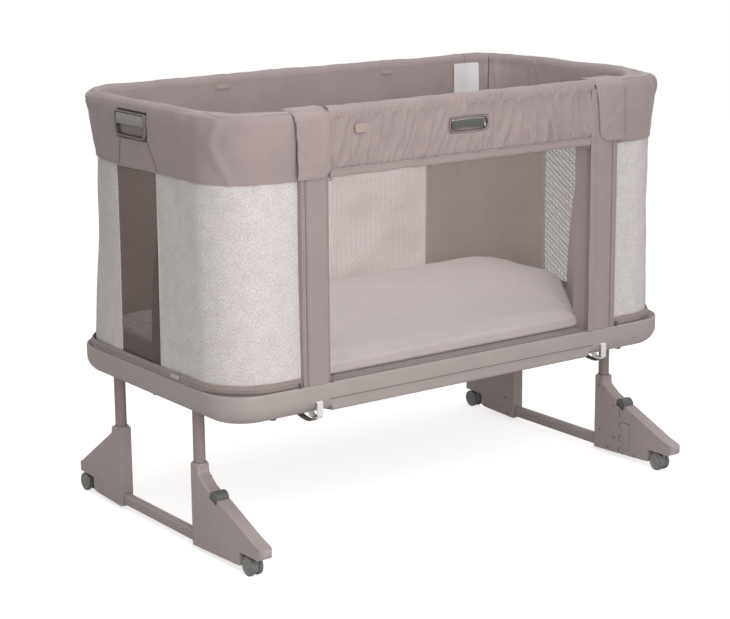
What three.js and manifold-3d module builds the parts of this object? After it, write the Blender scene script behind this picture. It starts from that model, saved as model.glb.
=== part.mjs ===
// A bedside bassinet on two telescopic leg frames, in millimetres, +Z up, front side facing -Y.
// Origin: middle of the outer box, on the floor.
import * as THREE from 'three';
import { mergeVertices } from 'three/addons/utils/BufferGeometryUtils.js';
import Module from 'manifold-3d';

const wasm = await Module();
wasm.setup();

// ---------------------------------------------------------------- driving dimensions
const gap = 0.3; // clearance between touching pieces
const running = 0.4; // clearance of sliding and turning fits
const tiltRoom = 0.7; // above the pull and the lever, whose top edges rise as they tilt

const tray = { halfLength: 556, halfDepth: 300, corner: 82, rimZ: 334, height: 58, round: 34, wall: 4 };
const board = { thickness: 6, ledge: 7 };

// the top rail stands this far inside the tray's outline; everything sewn on it hangs from its height
const rail = { inset: 19, frontInset: 24, backInset: 18, z: 836, radius: 11, wall: 1.5, corner: 90, bend: 42, plug: 30 };
rail.x = tray.halfLength - rail.inset;
rail.front = -tray.halfDepth + rail.frontInset;
rail.back = tray.halfDepth - rail.backInset;

const band = { bottomZ: rail.z - 115, innerZ: rail.z - 91, outer: rail.radius + 3, flare: 6, crest: rail.radius + 4, skin: 3.5 };
const roof = { width: 31, endY: -150, lean: 1.35, dropZ: rail.z - 21 };
const post = { inner: 327, outer: 393, front: rail.front - rail.radius - 11, depth: 60, topZ: rail.z + 2 };
const dropRail = { y: post.front + 12.5, z: rail.z + 2, radius: 9.5, wall: 1.5 };
const flap = { thickness: 2.5, bottomZ: band.bottomZ - 2, overhang: 7, corner: 14, setBack: 1 };
const frontFace = { halfWidth: post.inner + 7, height: 27, step: 5, slant: 6 };

const wall = { thickness: 5, foot: 13, waist: 5, head: 9.5, topZ: rail.z - 78 };
const endWindow = { centreY: 20, width: 150 };
const backWindow = { halfWidth: 351 };
const mesh = { thickness: 2.5 };
const skirt = { height: 16, foot: 19 };

const mattress = { endGap: 39, frontGap: 36, backGap: 37, thickness: 42, crown: 10, crownInset: 66, corner: 84, postGap: 5.8, sideY: 70 };
mattress.halfLength = tray.halfLength - mattress.endGap;
mattress.front = -tray.halfDepth + mattress.frontGap;
mattress.back = tray.halfDepth - mattress.backGap;

// the slanted front corner starts where it passes the back of the post with its gap
const besidePost = (post.front + post.depth + mattress.postGap - mattress.front) / (mattress.sideY - mattress.front);
mattress.tipX = (post.inner - besidePost * mattress.halfLength) / (1 - besidePost);
const lining = { thickness: 3, startX: backWindow.halfWidth, endX: rail.x - 3, endY: 8, tailY: -112, slack: 1.2 };
lining.topZ = rail.z - 24;
lining.tailZ = band.innerZ - 3;

const leg = { x: tray.halfLength - 36, width: 28, frontY: -132, rearY: 172, topZ: 171 };
const legTube = { radius: 12, wall: 1.5, topZ: tray.rimZ - 16, bottomZ: 88 };
const column = { bore: legTube.radius + running, wall: 1.8, boreFloorZ: 38, footZ: 7 };
const crossbar = { halfWidth: 8.5, height: 26, bottomZ: 8.5, tenon: 9, wall: 1.6 };
const foot = { seamY: -197.4, tipY: -366, rearTipY: 340, noseZ: 52, underZ: 41, heelZ: 14 };
const notch = { frontY: -289, rearY: 273 };
const slope = { topY: -176, topZ: 136, endY: -330, endZ: 72 };
const rearSlope = { endY: 323, endZ: 64 };
const hingePin = { radius: 2, inset: 4.2, bottomZ: 14, topZ: 104, lugHeight: 12 };
const button = { halfLength: 13, below: 9, above: 9, travel: 3, centreY: -203, swing: 1.6 };
const caster = { radius: 19, wheelWidth: 8, hood: 8, trail: 6, frontY: -318, rearY: 311, stem: 4, stemTopZ: 56 };
const catchTab = { near: legTube.radius + 2, reach: 9, halfWidth: 7, height: 25, flange: 3, flangeDrop: 11 };
catchTab.far = catchTab.near + catchTab.reach;
catchTab.topZ = tray.rimZ - tray.height + 16;
catchTab.bottomZ = catchTab.topZ - catchTab.height;
catchTab.flangeZ = catchTab.topZ - catchTab.flangeDrop;

const endHandle = { width: 113, bottomZ: rail.z - 56, topZ: rail.z - 7, proud: 5, depth: 22, frame: 8, pullHeight: 22 };
const frontHandle = { halfWidth: 48, bottomZ: rail.z - 59, topZ: rail.z - 30, proud: 4, depth: 12, frame: 6 };
const hook = { x: (post.inner + post.outer) / 2 - 2, width: 13, thickness: 3, topZ: tray.rimZ - 31, drop: 34 };

const standY = 13; // the feet reach further forward than back, so this centres the outer box on the origin
const bendSteps = 6; // facets in each rounded corner of the rail, bands and walls

// ---------------------------------------------------------------- finishes
const finish = (color, roughness, metalness = 0) => new THREE.MeshStandardMaterial({ color, roughness, metalness });
const looks = {
  trayPlastic: finish(0xa79f9c, 0.5),
  legPlastic: finish(0x8f8684, 0.5),
  tubeMetal: finish(0x958b89, 0.4, 0.3),
  taupe: finish(0x9a8f8c, 0.9),
  melange: finish(0xcfcac7, 0.95),
  meshCloth: finish(0x8d827e, 0.9),
  mattressCloth: finish(0xbcb1ae, 0.95),
  boardPanel: finish(0x8a817e, 0.8),
  handleGrey: finish(0x8f8e8c, 0.45),
  darkGrey: finish(0x636363, 0.5),
  whitePlastic: finish(0xd8d5d2, 0.5),
  wheelGrey: finish(0x8b8c8c, 0.6),
};

// ---------------------------------------------------------------- solids
function toSolid(geometry) {
  const bare = geometry.clone();
  bare.deleteAttribute('normal');
  bare.deleteAttribute('uv');
  const merged = mergeVertices(bare, 1e-4);
  const vertProperties = new Float32Array(merged.attributes.position.array);
  const triVerts = new Uint32Array(merged.index.array);
  return new wasm.Manifold(new wasm.Mesh({ numProp: 3, vertProperties, triVerts }));
}

function toGeometry(solid) {
  const data = solid.getMesh();
  const geometry = new THREE.BufferGeometry();
  geometry.setAttribute('position', new THREE.BufferAttribute(new Float32Array(data.vertProperties), 3));
  geometry.setIndex(new THREE.BufferAttribute(new Uint32Array(data.triVerts), 1));
  return geometry;
}

const join = (first, ...others) => others.reduce((sum, solid) => sum.add(solid), first);
const cut = (first, ...others) => others.reduce((rest, solid) => rest.subtract(solid), first);

function box(x0, x1, y0, y1, z0, z1) {
  const geometry = new THREE.BoxGeometry(x1 - x0, y1 - y0, z1 - z0);
  return toSolid(geometry.translate((x0 + x1) / 2, (y0 + y1) / 2, (z0 + z1) / 2));
}

function extrude(outline, from, to, basis) {
  const shape = new THREE.Shape(outline.map(([a, b]) => new THREE.Vector2(a, b)));
  const geometry = new THREE.ExtrudeGeometry(shape, { depth: to - from, bevelEnabled: false });
  geometry.translate(0, 0, from);
  return toSolid(geometry.applyMatrix4(basis));
}

function axes(u, v, w) {
  return new THREE.Matrix4().makeBasis(new THREE.Vector3(...u), new THREE.Vector3(...v), new THREE.Vector3(...w));
}

const upright = axes([1, 0, 0], [0, 1, 0], [0, 0, 1]);
const sideways = axes([0, 1, 0], [0, 0, 1], [1, 0, 0]);
const frontal = axes([1, 0, 0], [0, 0, 1], [0, -1, 0]);

// outlines are [x, y] extruded along Z, [y, z] along X, and [x, z] along Y
const prismZ = (outline, z0, z1) => extrude(outline, z0, z1, upright);
const prismX = (outline, x0, x1) => extrude(outline, x0, x1, sideways);
const prismY = (outline, y0, y1) => extrude(outline, -y1, -y0, frontal);

function circle(a, b, radius, sides) {
  const points = [];
  for (let i = 0; i < sides; i += 1) {
    const turn = ((i + 0.5) * 2 * Math.PI) / sides;
    points.push([a + radius * Math.cos(turn), b + radius * Math.sin(turn)]);
  }
  return points;
}

function arc(a, b, radiusA, radiusB, fromDeg, toDeg, steps) {
  const points = [];
  for (let i = 0; i <= steps; i += 1) {
    const turn = THREE.MathUtils.degToRad(fromDeg + ((toDeg - fromDeg) * i) / steps);
    points.push([a + radiusA * Math.cos(turn), b + radiusB * Math.sin(turn)]);
  }
  return points;
}

const rodZ = (x, y, radius, z0, z1, sides = 16) => prismZ(circle(x, y, radius, sides), z0, z1);
const rodX = (y, z, radius, x0, x1, sides = 16) => prismX(circle(y, z, radius, sides), x0, x1);
const rodY = (x, z, radius, y0, y1, sides = 16) => prismY(circle(x, z, radius, sides), y0, y1);

// an outline whose corners are rounded, each by its own radius
function rounded(corners, steps = 4) {
  const points = [];
  corners.forEach(([a, b, radius = 0], i) => {
    const [pa, pb] = corners[(i + corners.length - 1) % corners.length];
    const [na, nb] = corners[(i + 1) % corners.length];
    if (radius === 0) {
      points.push([a, b]);
      return;
    }
    const here = new THREE.Vector2(a, b);
    const back = new THREE.Vector2(pa - a, pb - b).normalize();
    const ahead = new THREE.Vector2(na - a, nb - b).normalize();
    const half = Math.acos(THREE.MathUtils.clamp(back.dot(ahead), -1, 1)) / 2;
    const reach = radius / Math.tan(half);
    const centre = here.clone().add(back.clone().add(ahead).normalize().multiplyScalar(radius / Math.sin(half)));
    const start = here.clone().addScaledVector(back, reach).sub(centre);
    const end = here.clone().addScaledVector(ahead, reach).sub(centre);
    let sweep = end.angle() - start.angle();
    if (sweep > Math.PI) sweep -= 2 * Math.PI;
    if (sweep < -Math.PI) sweep += 2 * Math.PI;
    for (let k = 0; k <= steps; k += 1) {
      const turn = start.angle() + (sweep * k) / steps;
      points.push([centre.x + radius * Math.cos(turn), centre.y + radius * Math.sin(turn)]);
    }
  });
  return points;
}

// a closed skin over rings of equal length; its two ends are capped with the faces of flat outlines
function skin(rings, firstCap, lastCap = firstCap) {
  const count = rings[0].length;
  const positions = rings.flat(2);
  const index = [];
  const last = rings.length - 1;
  for (let r = 0; r < last; r += 1) {
    const here = r * count;
    const next = here + count;
    for (let i = 0; i < count; i += 1) {
      const j = (i + 1) % count;
      index.push(here + i, here + j, next + j, here + i, next + j, next + i);
    }
  }
  const faces = (cap) => THREE.ShapeUtils.triangulateShape(cap.map(([a, b]) => new THREE.Vector2(a, b)), []);
  faces(firstCap).forEach(([a, b, c]) => index.push(c, b, a));
  faces(lastCap).forEach(([a, b, c]) => index.push(last * count + a, last * count + b, last * count + c));
  let volume = 0;
  const corner = (i) => new THREE.Vector3(...positions.slice(3 * i, 3 * i + 3));
  for (let t = 0; t < index.length; t += 3) {
    volume += corner(index[t]).dot(corner(index[t + 1]).cross(corner(index[t + 2])));
  }
  if (volume < 0) index.reverse();
  const geometry = new THREE.BufferGeometry();
  geometry.setAttribute('position', new THREE.Float32BufferAttribute(positions, 3));
  geometry.setIndex(index);
  return toSolid(geometry);
}

// a section of [offset, z] points, which may differ from station to station, carried along { x, y, nx, ny }
function sweep(stations, sectionAt) {
  const place = ({ x, y, nx, ny }, section) => section.map(([out, z]) => [x + nx * out, y + ny * out, z]);
  const rings = stations.map((station) => place(station, sectionAt(station)));
  return skin(rings, sectionAt(stations[0]), sectionAt(stations[stations.length - 1]));
}

// rounded rectangles stacked in height; each layer is [inset, z]
function stack(halfX, halfY, corner, layers, steps = 6) {
  const ring = (inset) => [
    [halfX, halfY, 0], [-halfX, halfY, 90], [-halfX, -halfY, 180], [halfX, -halfY, 270],
  ].flatMap(([x, y, from]) => {
    const centreX = x - Math.sign(x) * corner;
    const centreY = y - Math.sign(y) * corner;
    return arc(centreX, centreY, corner - inset, corner - inset, from, from + 90, steps);
  });
  const rings = layers.map(([inset, z]) => ring(inset).map(([x, y]) => [x, y, z]));
  return skin(rings, ring(0));
}

// a round bar along a bent path, its frame carried without twist
function bar(path, radius, sides = 12) {
  const points = path.map((p) => new THREE.Vector3(...p));
  const side = new THREE.Vector3();
  const rings = points.map((point, i) => {
    const before = points[Math.max(i - 1, 0)];
    const after = points[Math.min(i + 1, points.length - 1)];
    const along = after.clone().sub(before).normalize();
    if (i === 0) side.set(1, 0, 0).addScaledVector(along, -along.x);
    if (side.lengthSq() < 0.01) side.set(0, 1, 0).addScaledVector(along, -along.y);
    side.addScaledVector(along, -side.dot(along)).normalize();
    const up = along.clone().cross(side);
    return circle(0, 0, radius, sides).map(([a, b]) => {
      const spot = point.clone().addScaledVector(side, a).addScaledVector(up, b);
      return spot.toArray();
    });
  });
  return skin(rings, circle(0, 0, radius, sides));
}

// a path whose inner corners are rounded in space
function bentPath(corners, radii, steps = bendSteps) {
  const points = [];
  corners.forEach((corner, i) => {
    const here = new THREE.Vector3(...corner);
    if (i === 0 || i === corners.length - 1) {
      points.push(here.toArray());
      return;
    }
    const back = new THREE.Vector3(...corners[i - 1]).sub(here).normalize();
    const ahead = new THREE.Vector3(...corners[i + 1]).sub(here).normalize();
    const radius = radii[i];
    const centre = here.clone().addScaledVector(back, radius).addScaledVector(ahead, radius);
    for (let k = 0; k <= steps; k += 1) {
      const turn = (k / steps) * (Math.PI / 2);
      const spot = centre.clone().addScaledVector(ahead, -radius * Math.cos(turn));
      points.push(spot.addScaledVector(back, -radius * Math.sin(turn)).toArray());
    }
  });
  return points;
}

// pushes both ends of a path out along its own direction
function lengthened(path, by) {
  const grow = (end, next) => {
    const away = new THREE.Vector3(...end).sub(new THREE.Vector3(...next)).normalize();
    return new THREE.Vector3(...end).addScaledVector(away, by).toArray();
  };
  const last = path.length - 1;
  return [grow(path[0], path[1]), ...path.slice(1, last), grow(path[last], path[last - 1])];
}

const boreSides = 8;

function hollowBar(path, radius, thickness) {
  return cut(bar(path, radius), bar(lengthened(path, 2), radius - thickness, boreSides));
}

// ---------------------------------------------------------------- scene graph
const bassinet = new THREE.Group();

function add(name, solid, material) {
  const part = new THREE.Mesh(toGeometry(solid.translate([0, standY, 0])), material);
  part.name = name;
  bassinet.add(part);
}

const mirrored = (solid, side) => (side < 0 ? solid : solid.mirror([1, 0, 0]));
const ends = [['left', -1], ['right', 1]]; // everything at the ends is drawn at -X and mirrored to +X

// ---------------------------------------------------------------- tray and bed board
const trayFloorZ = tray.rimZ - tray.height;

function quarterRound(radius, inset, baseZ, steps) {
  const layers = [];
  for (let i = 0; i <= steps; i += 1) {
    const turn = (i / steps) * (Math.PI / 2);
    layers.push([inset + radius * (1 - Math.sin(turn)), baseZ + radius * (1 - Math.cos(turn))]);
  }
  return layers;
}

function frontRecess() {
  const { halfWidth, height, slant } = frontFace;
  const low = trayFloorZ - 1;
  const outline = [[-halfWidth + slant, low], [halfWidth - slant, low], [halfWidth, low + height + 1], [-halfWidth, low + height + 1]];
  return prismY(outline, -tray.halfDepth - 1, -tray.halfDepth + frontFace.step);
}

function frontFill() {
  const half = frontFace.halfWidth - frontFace.slant - 2;
  const front = -tray.halfDepth + frontFace.step;
  const outline = rounded([
    [front, trayFloorZ, 8], [front + tray.round, trayFloorZ], [front + tray.round, trayFloorZ + tray.round], [front, trayFloorZ + tray.round],
  ]);
  return prismX(outline, -half, half);
}

function makeTray() {
  const lip = 2;
  const { halfLength, halfDepth, corner, rimZ, round } = tray;
  const outside = [...quarterRound(round, 0, trayFloorZ, 6), [0, rimZ - lip], [lip, rimZ]];
  const body = stack(halfLength, halfDepth, corner, outside);
  const ledgeZ = rimZ - board.thickness;
  const inner = tray.wall + board.ledge;
  const pocket = [...quarterRound(round - inner + 6, inner, trayFloorZ + tray.wall, 5), [inner, ledgeZ + 1]];
  const seat = [[tray.wall, ledgeZ], [tray.wall, rimZ + 1]];
  const shell = cut(join(cut(body, frontRecess()), frontFill()), stack(halfLength, halfDepth, corner, pocket), stack(halfLength, halfDepth, corner, seat));
  const holes = ends.flatMap(([, side]) => [leg.frontY, leg.rearY].map((y) => {
    return rodZ(side * leg.x, y, column.bore, trayFloorZ - 2, legTube.topZ + gap);
  }));
  const slots = ends.map(([, side]) => {
    const x = side * hook.x;
    const half = hook.width / 2 + gap;
    return box(x - half, x + half, -tray.halfDepth - 2, -tray.halfDepth + 24, hook.topZ - hook.thickness - gap, hook.topZ + gap);
  });
  const catchHoles = ends.flatMap(([, side]) => [leg.frontY, leg.rearY].map((y) => mirrored(catchHole(y), side)));
  return cut(shell, ...holes, ...slots, ...catchHoles);
}

function makeBoard() {
  const edge = tray.wall + gap;
  const layers = [[edge, tray.rimZ - board.thickness + gap], [edge, tray.rimZ]];
  return stack(tray.halfLength, tray.halfDepth, tray.corner, layers);
}

// ---------------------------------------------------------------- leg tubes and the catches that hold them
const tubePath = (y) => [[-leg.x, y, legTube.bottomZ], [-leg.x, y, legTube.topZ]];

function catchHole(y) {
  const { near, far, halfWidth } = catchTab;
  const x = -leg.x;
  const half = halfWidth + running;
  return box(x + near - running, x + far + running, y - half, y + half, trayFloorZ - 2, trayFloorZ + tray.wall + 3);
}

function makeCatch(y) {
  const { near, far, halfWidth, bottomZ, topZ, flange, flangeZ } = catchTab;
  const x = -leg.x;
  const stem = box(x + near, x + far, y - halfWidth, y + halfWidth, bottomZ, topZ);
  return join(stem, box(x + near, x + far + 4, y - halfWidth - 3, y + halfWidth + 3, flangeZ, flangeZ + flange));
}

// ---------------------------------------------------------------- top rail
const postX = (post.inner + post.outer) / 2;
const sleeveFootZ = tray.rimZ + gap;

function endRailPath() {
  const corners = [
    [-postX, rail.front, sleeveFootZ], [-postX, rail.front, rail.z], [-rail.x, rail.front, rail.z],
    [-rail.x, rail.back, rail.z], [-gap / 2, rail.back, rail.z],
  ];
  return bentPath(corners, [0, rail.bend, rail.corner, rail.corner, 0]);
}

const makeRailFrame = () => hollowBar(endRailPath(), rail.radius, rail.wall);

// the plug at the end of the left frame slides into the right one
function makePluggedRailFrame() {
  const { back, z, plug } = rail;
  const bore = rail.radius - rail.wall;
  const root = bar([[-plug, back, z], [-gap, back, z]], bore + gap, boreSides);
  return join(makeRailFrame(), root, bar([[-plug, back, z], [plug, back, z]], bore - 2 * gap, boreSides));
}

// room for the rail inside what is pulled over it
const railRoom = () => bar(lengthened(endRailPath(), 6), rail.radius + running);

// ---------------------------------------------------------------- plan stations on the rail line
function cornerStations(sideY) {
  const y = sideY < 0 ? rail.front : rail.back;
  const centreX = -rail.x + rail.corner;
  const centreY = y - sideY * rail.corner;
  const stations = [];
  for (let i = 0; i <= bendSteps; i += 1) {
    const turn = (i / bendSteps) * (Math.PI / 2);
    const nx = -Math.sin(turn);
    const ny = sideY * Math.cos(turn);
    stations.push({ x: centreX + rail.corner * nx, y: centreY + rail.corner * ny, nx, ny });
  }
  return stations;
}

const frontStation = (x) => ({ x, y: rail.front, nx: 0, ny: -1 });
const backStation = (x) => ({ x, y: rail.back, nx: 0, ny: 1 });
const endStation = (y) => ({ x: -rail.x, y, nx: -1, ny: 0 });
const windowFront = endWindow.centreY - endWindow.width / 2;
const windowBack = endWindow.centreY + endWindow.width / 2;

// ---------------------------------------------------------------- padded band over the top rail
const bandJointX = rail.x - rail.corner;
const flapEdgeX = post.outer + flap.overhang;

// stations of the roofed front corner, each with how much further inward the roof reaches there
function roofStations() {
  const stations = [frontStation(-flapEdgeX), ...cornerStations(-1), endStation(roof.endY)];
  const run = [flapEdgeX - post.inner];
  stations.slice(1).forEach(({ x, y }, i) => run.push(run[i] + Math.hypot(x - stations[i].x, y - stations[i].y)));
  const total = run[run.length - 1];
  return stations.map((station, i) => {
    const reach = roof.width * Math.sin(Math.PI * (run[i] / total) ** roof.lean);
    return { ...station, reach, dropZ: roof.dropZ };
  });
}

function bandSection(reach, dropZ) {
  const { outer, flare, crest, skin: thick, bottomZ } = band;
  const wide = outer + flare;
  const clear = rail.radius + 1;
  const inner = -crest - reach;
  const outside = [[outer, bottomZ], [wide, rail.z - 45], [wide, rail.z - 8], [wide - 4, rail.z + 8]];
  const top = arc(0, rail.z, crest, crest, 60, 180, 5).map(([out, z]) => [out < 0 ? out * (inner / -crest) : out, z]);
  const inside = [[inner, dropZ], [inner + thick, dropZ], [inner + thick, rail.z + 2]];
  const under = arc(0, rail.z, clear, clear, 165, 15, 5);
  return [...outside, ...top, ...inside, ...under, [wide - thick - 2, rail.z - 10], [outer - thick, bottomZ]];
}

function endHandleSeat() {
  const { width, bottomZ, topZ } = endHandle;
  const half = width / 2 + gap;
  const y = endWindow.centreY;
  return box(-rail.x - 60, -rail.x - rail.radius - 0.6, y - half, y + half, bottomZ - gap, topZ + gap);
}

// the band's end, which wraps over the top of the post and hangs in front of it
function flapSolid() {
  const { thickness, bottomZ, corner } = flap;
  const face = post.front + flap.setBack - gap;
  const topZ = post.topZ + gap;
  const crestZ = rail.z + band.crest;
  const backY = post.front + post.depth;
  const outline = [
    [face, bottomZ], [face, topZ], [backY, topZ], [backY, crestZ - 6], [rail.front + 20, crestZ],
    [rail.front, crestZ], [face - thickness + 5, topZ + 5], [face - thickness, topZ - 4], [face - thickness, bottomZ],
  ];
  const left = -flapEdgeX - 6;
  const right = -post.inner;
  const trim = rounded([[left, bottomZ], [right, bottomZ, corner], [right, crestZ + 5], [left, crestZ + 5]]);
  return prismX(outline, left, right).intersect(prismY(trim, post.front - 20, backY + 5));
}

function makeEndBand() {
  const plain = [endStation(lining.tailY), ...cornerStations(1).reverse()];
  const stations = [...roofStations(), ...plain.map((station) => ({ ...station, reach: 0, dropZ: band.innerZ }))];
  const cover = sweep(stations, ({ reach, dropZ }) => bandSection(reach, dropZ));
  return cut(join(cover, flapSolid()), endHandleSeat(), railRoom());
}

const makeBackBand = () => sweep([backStation(-bandJointX + gap), backStation(bandJointX - gap)], () => bandSection(0, band.innerZ));

// ---------------------------------------------------------------- front posts
function makePostSleeve() {
  const { inner, outer, front, depth, topZ } = post;
  const outline = rounded([[-outer, front, 10], [-inner, front, 8], [-inner, front + depth, 8], [-outer, front + depth, 10]], 3);
  const underFlap = box(-outer - 1, -inner + 1, front - 1, front + flap.setBack, flap.bottomZ - 3, topZ + 1);
  return cut(prismZ(outline, sleeveFootZ, topZ), underFlap, railRoom());
}

// ---------------------------------------------------------------- walls, windows and skirt strip
function wallSection(thickness = wall.thickness, inset = 0) {
  const heights = [[0, wall.foot], [0.2, 9], [0.42, 6], [0.56, wall.waist], [0.76, 6.5], [1, wall.head]];
  const z = (share) => sleeveFootZ + (wall.topZ - sleeveFootZ) * share;
  const outside = heights.map(([share, out]) => [out - inset, z(share)]);
  const inside = heights.map(([share, out]) => [out - inset - thickness, z(share)]).reverse();
  return [...outside, ...inside];
}

const meshSection = () => wallSection(mesh.thickness, (wall.thickness - mesh.thickness) / 2);

function makeFrontWall() {
  const stations = [frontStation(-post.outer - gap), ...cornerStations(-1), endStation(windowFront - gap)];
  return sweep(stations, () => wallSection());
}

function makeBackWall() {
  const stations = [endStation(windowBack + gap), ...cornerStations(1).reverse(), backStation(-backWindow.halfWidth - gap)];
  return sweep(stations, () => wallSection());
}

const makeEndMesh = () => sweep([endStation(windowFront), endStation(windowBack)], meshSection);

function makeBackMesh() {
  const { halfWidth } = backWindow;
  return sweep([backStation(-halfWidth), backStation(halfWidth)], meshSection);
}

function makeSkirt() {
  const near = wall.foot + gap;
  const topZ = sleeveFootZ + skirt.height;
  const section = [[near, sleeveFootZ], [skirt.foot, sleeveFootZ], [near + 1.5, topZ], [near, topZ]];
  const half = [frontStation(-post.outer - gap), ...cornerStations(-1), ...cornerStations(1).reverse()];
  const other = half.map(({ x, y, nx, ny }) => ({ x: -x, y, nx: -nx, ny })).reverse();
  return sweep([...half, ...other], () => section);
}

// inner cloth that cuts off the front corner, from the post to the end wall and up behind the roof's edge
function makeLining() {
  const { thickness, startX, endX, endY, topZ, tailY, tailZ, slack } = lining;
  const startY = post.front + post.depth + 2 * gap;
  const tuck = band.crest - band.skin - gap - thickness - slack;
  const along = new THREE.Vector2(startX - endX, endY - startY);
  const inward = new THREE.Vector2(along.y, -along.x).normalize();
  const behindPost = [-startX, -flapEdgeX].map((x) => ({ x, y: startY, nx: 0, ny: -1, z: topZ }));
  const behindRoof = roofStations().slice(1).map(({ x, y, nx, ny, reach }) => {
    return { x: x - nx * (tuck + reach), y: y - ny * (tuck + reach), nx, ny, z: topZ };
  });
  const tail = { x: -rail.x + tuck, y: tailY, nx: -1, ny: 0, z: tailZ };
  const upper = [...behindPost, ...behindRoof, tail];
  const rings = upper.map(({ x, y, nx, ny, z }, i) => {
    const share = i / (upper.length - 1);
    const lowX = -startX + along.x * share;
    const lowY = startY + along.y * share;
    return [
      [lowX, lowY, sleeveFootZ], [lowX + inward.x * thickness, lowY + inward.y * thickness, sleeveFootZ],
      [x - nx * thickness, y - ny * thickness, z], [x, y, z],
    ];
  });
  return skin(rings, [[0, 0], [1, 0], [1, 1], [0, 1]]);
}

// ---------------------------------------------------------------- mattress
function mattressOutline(inset) {
  const { halfLength, front, back, corner, tipX, sideY } = mattress;
  const slant = Math.atan2(sideY - front, halfLength - tipX);
  const x = halfLength - inset;
  const y = sideY + inset * Math.tan((Math.PI / 2 - slant) / 2);
  const tip = tipX - inset * Math.tan(slant / 2);
  const half = [[tip, front + inset, 26], [x, y, 90], [x, back - inset, corner]];
  return rounded([...half, ...half.map(([a, b, r]) => [-a, b, r]).reverse()], 5);
}

function makeMattress() {
  const { thickness, crown } = mattress;
  const z = tray.rimZ + gap;
  const edge = thickness - crown;
  const layers = [[5, 0], [0, 6], [0, edge - 8], [4, edge], [mattress.crownInset, thickness]];
  const rings = layers.map(([inset, height]) => mattressOutline(inset).map(([x, y]) => [x, y, z + height]));
  return skin(rings, mattressOutline(0));
}

// ---------------------------------------------------------------- handles in the end bands
const pullFace = -rail.x - band.outer - band.flare - endHandle.proud;

function makeEndBezel() {
  const { width, bottomZ, topZ, depth, frame, pullHeight } = endHandle;
  const half = width / 2;
  const y = endWindow.centreY;
  const back = -rail.x - rail.radius - 1;
  const railFootZ = rail.z - rail.radius;
  const outline = rounded([[y - half, bottomZ, 12], [y + half, bottomZ, 12], [y + half, topZ, 3], [y - half, topZ, 3]]);
  const plate = prismX(outline, pullFace, back);
  const cup = box(back - 1, pullFace + depth + 8, y - half + frame - 3, y + half - frame + 3, bottomZ + frame - 4, railFootZ - 4);
  const mouth = box(pullFace - 1, pullFace + depth + 5, y - half + frame, y + half - frame, bottomZ + frame, railFootZ - 7);
  const seat = box(pullFace - 1, pullFace + 5, y - half + 4 - gap, y + half - 4 + gap, topZ - 3 - pullHeight - gap, topZ - 3);
  const pin = rodY(0, 0, 1.6, y - half + 1, y + half - 1, 10).translate([pullFace + 2, 0, topZ - 6]);
  return cut(join(plate, cup), mouth, seat, pin);
}

function makeEndPull() {
  const { width, topZ, pullHeight } = endHandle;
  const half = width / 2 - 4;
  const y = endWindow.centreY;
  const plate = box(pullFace, pullFace + 3.5, y - half, y + half, topZ - 3 - pullHeight, topZ - 3 - tiltRoom);
  const pin = rodY(0, 0, 1.3, y - half - 2, y + half + 2, 10).translate([pullFace + 2, 0, topZ - 6]);
  return join(plate, pin);
}

// ---------------------------------------------------------------- drop side between the posts
const sideHalf = post.inner - gap;
const dropFace = post.front - 1.5;

function frontBandSection() {
  const { crest, skin: thick, bottomZ, innerZ } = band;
  const { y: railY, z, radius } = dropRail;
  const outer = railY - dropFace;
  const top = crest - 1.5;
  const lining = thick - 1;
  const profile = [
    [outer - 2, bottomZ + 3], [outer, z - 60], [outer - 1, z - 4], [outer - 5, z + 9],
    ...arc(0, z, top, top, 60, 180, 5), [-top, innerZ], [-top + lining, innerZ], [-top + lining, z],
    ...arc(0, z, radius + 1, radius + 1, 165, 15, 5), [outer - thick - 2, z - 16], [outer - thick - 2, bottomZ + 3],
  ];
  return profile.map(([out, height]) => [railY - out, height]);
}

function frontHandleSeat() {
  const { halfWidth, bottomZ, topZ, depth } = frontHandle;
  return box(-halfWidth - gap, halfWidth + gap, dropFace - 10, dropFace + depth + 2 * gap, bottomZ - gap, topZ + gap);
}

const makeFrontBand = () => cut(prismX(frontBandSection(), -sideHalf + 1, sideHalf - 1), frontHandleSeat());
const makeFrontRail = () => {
  const { y, z, radius, wall: thickness } = dropRail;
  return hollowBar([[-sideHalf, y, z], [sideHalf, y, z]], radius, thickness);
};

// bracket at each end of the drop side, which follows the post down
function makeSideGuide() {
  const { y, z, radius } = dropRail;
  const hem = box(-sideHalf, -sideHalf + 10, y - 9, y + 9, band.bottomZ - 8, band.bottomZ + 2.5);
  return join(hem, box(-sideHalf, -sideHalf + 6, y - 4, y + 4, band.bottomZ, z - radius - gap));
}

function makeFrontMesh() {
  const y = dropRail.y - 5;
  return box(-sideHalf + 12, sideHalf - 12, y, y + mesh.thickness, sleeveFootZ, band.bottomZ - gap);
}

function makeFrontBezel() {
  const { halfWidth, bottomZ, topZ, proud, depth, frame } = frontHandle;
  const face = dropFace - proud + 2;
  const blend = (topZ - bottomZ) / 2.1;
  const corners = [[-halfWidth, bottomZ], [halfWidth, bottomZ], [halfWidth, topZ], [-halfWidth, topZ]];
  const plate = prismY(rounded(corners.map(([x, z]) => [x, z, blend]), 6), face, dropFace + depth);
  const mouth = box(-halfWidth + 14, halfWidth - 14, face - 1, dropFace + depth - 2.5, bottomZ + frame, topZ - frame);
  const wide = halfWidth - 12;
  const seat = box(-wide - gap, wide + gap, face - 1, face + 5, topZ - 17, topZ - 3);
  const pin = rodX(face + 2, topZ - 5.5, 1.5, -wide - 3, wide + 3, 10);
  return cut(plate, mouth, seat, pin);
}

function makeFrontLever() {
  const { halfWidth, topZ, proud } = frontHandle;
  const face = dropFace - proud + 2;
  const wide = halfWidth - 12;
  const plate = box(-wide, wide, face, face + 3.8, topZ - 16, topZ - 3 - tiltRoom);
  return join(plate, rodX(face + 2, topZ - 5.5, 1.2, -wide - 2.5, wide + 2.5, 10));
}

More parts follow.
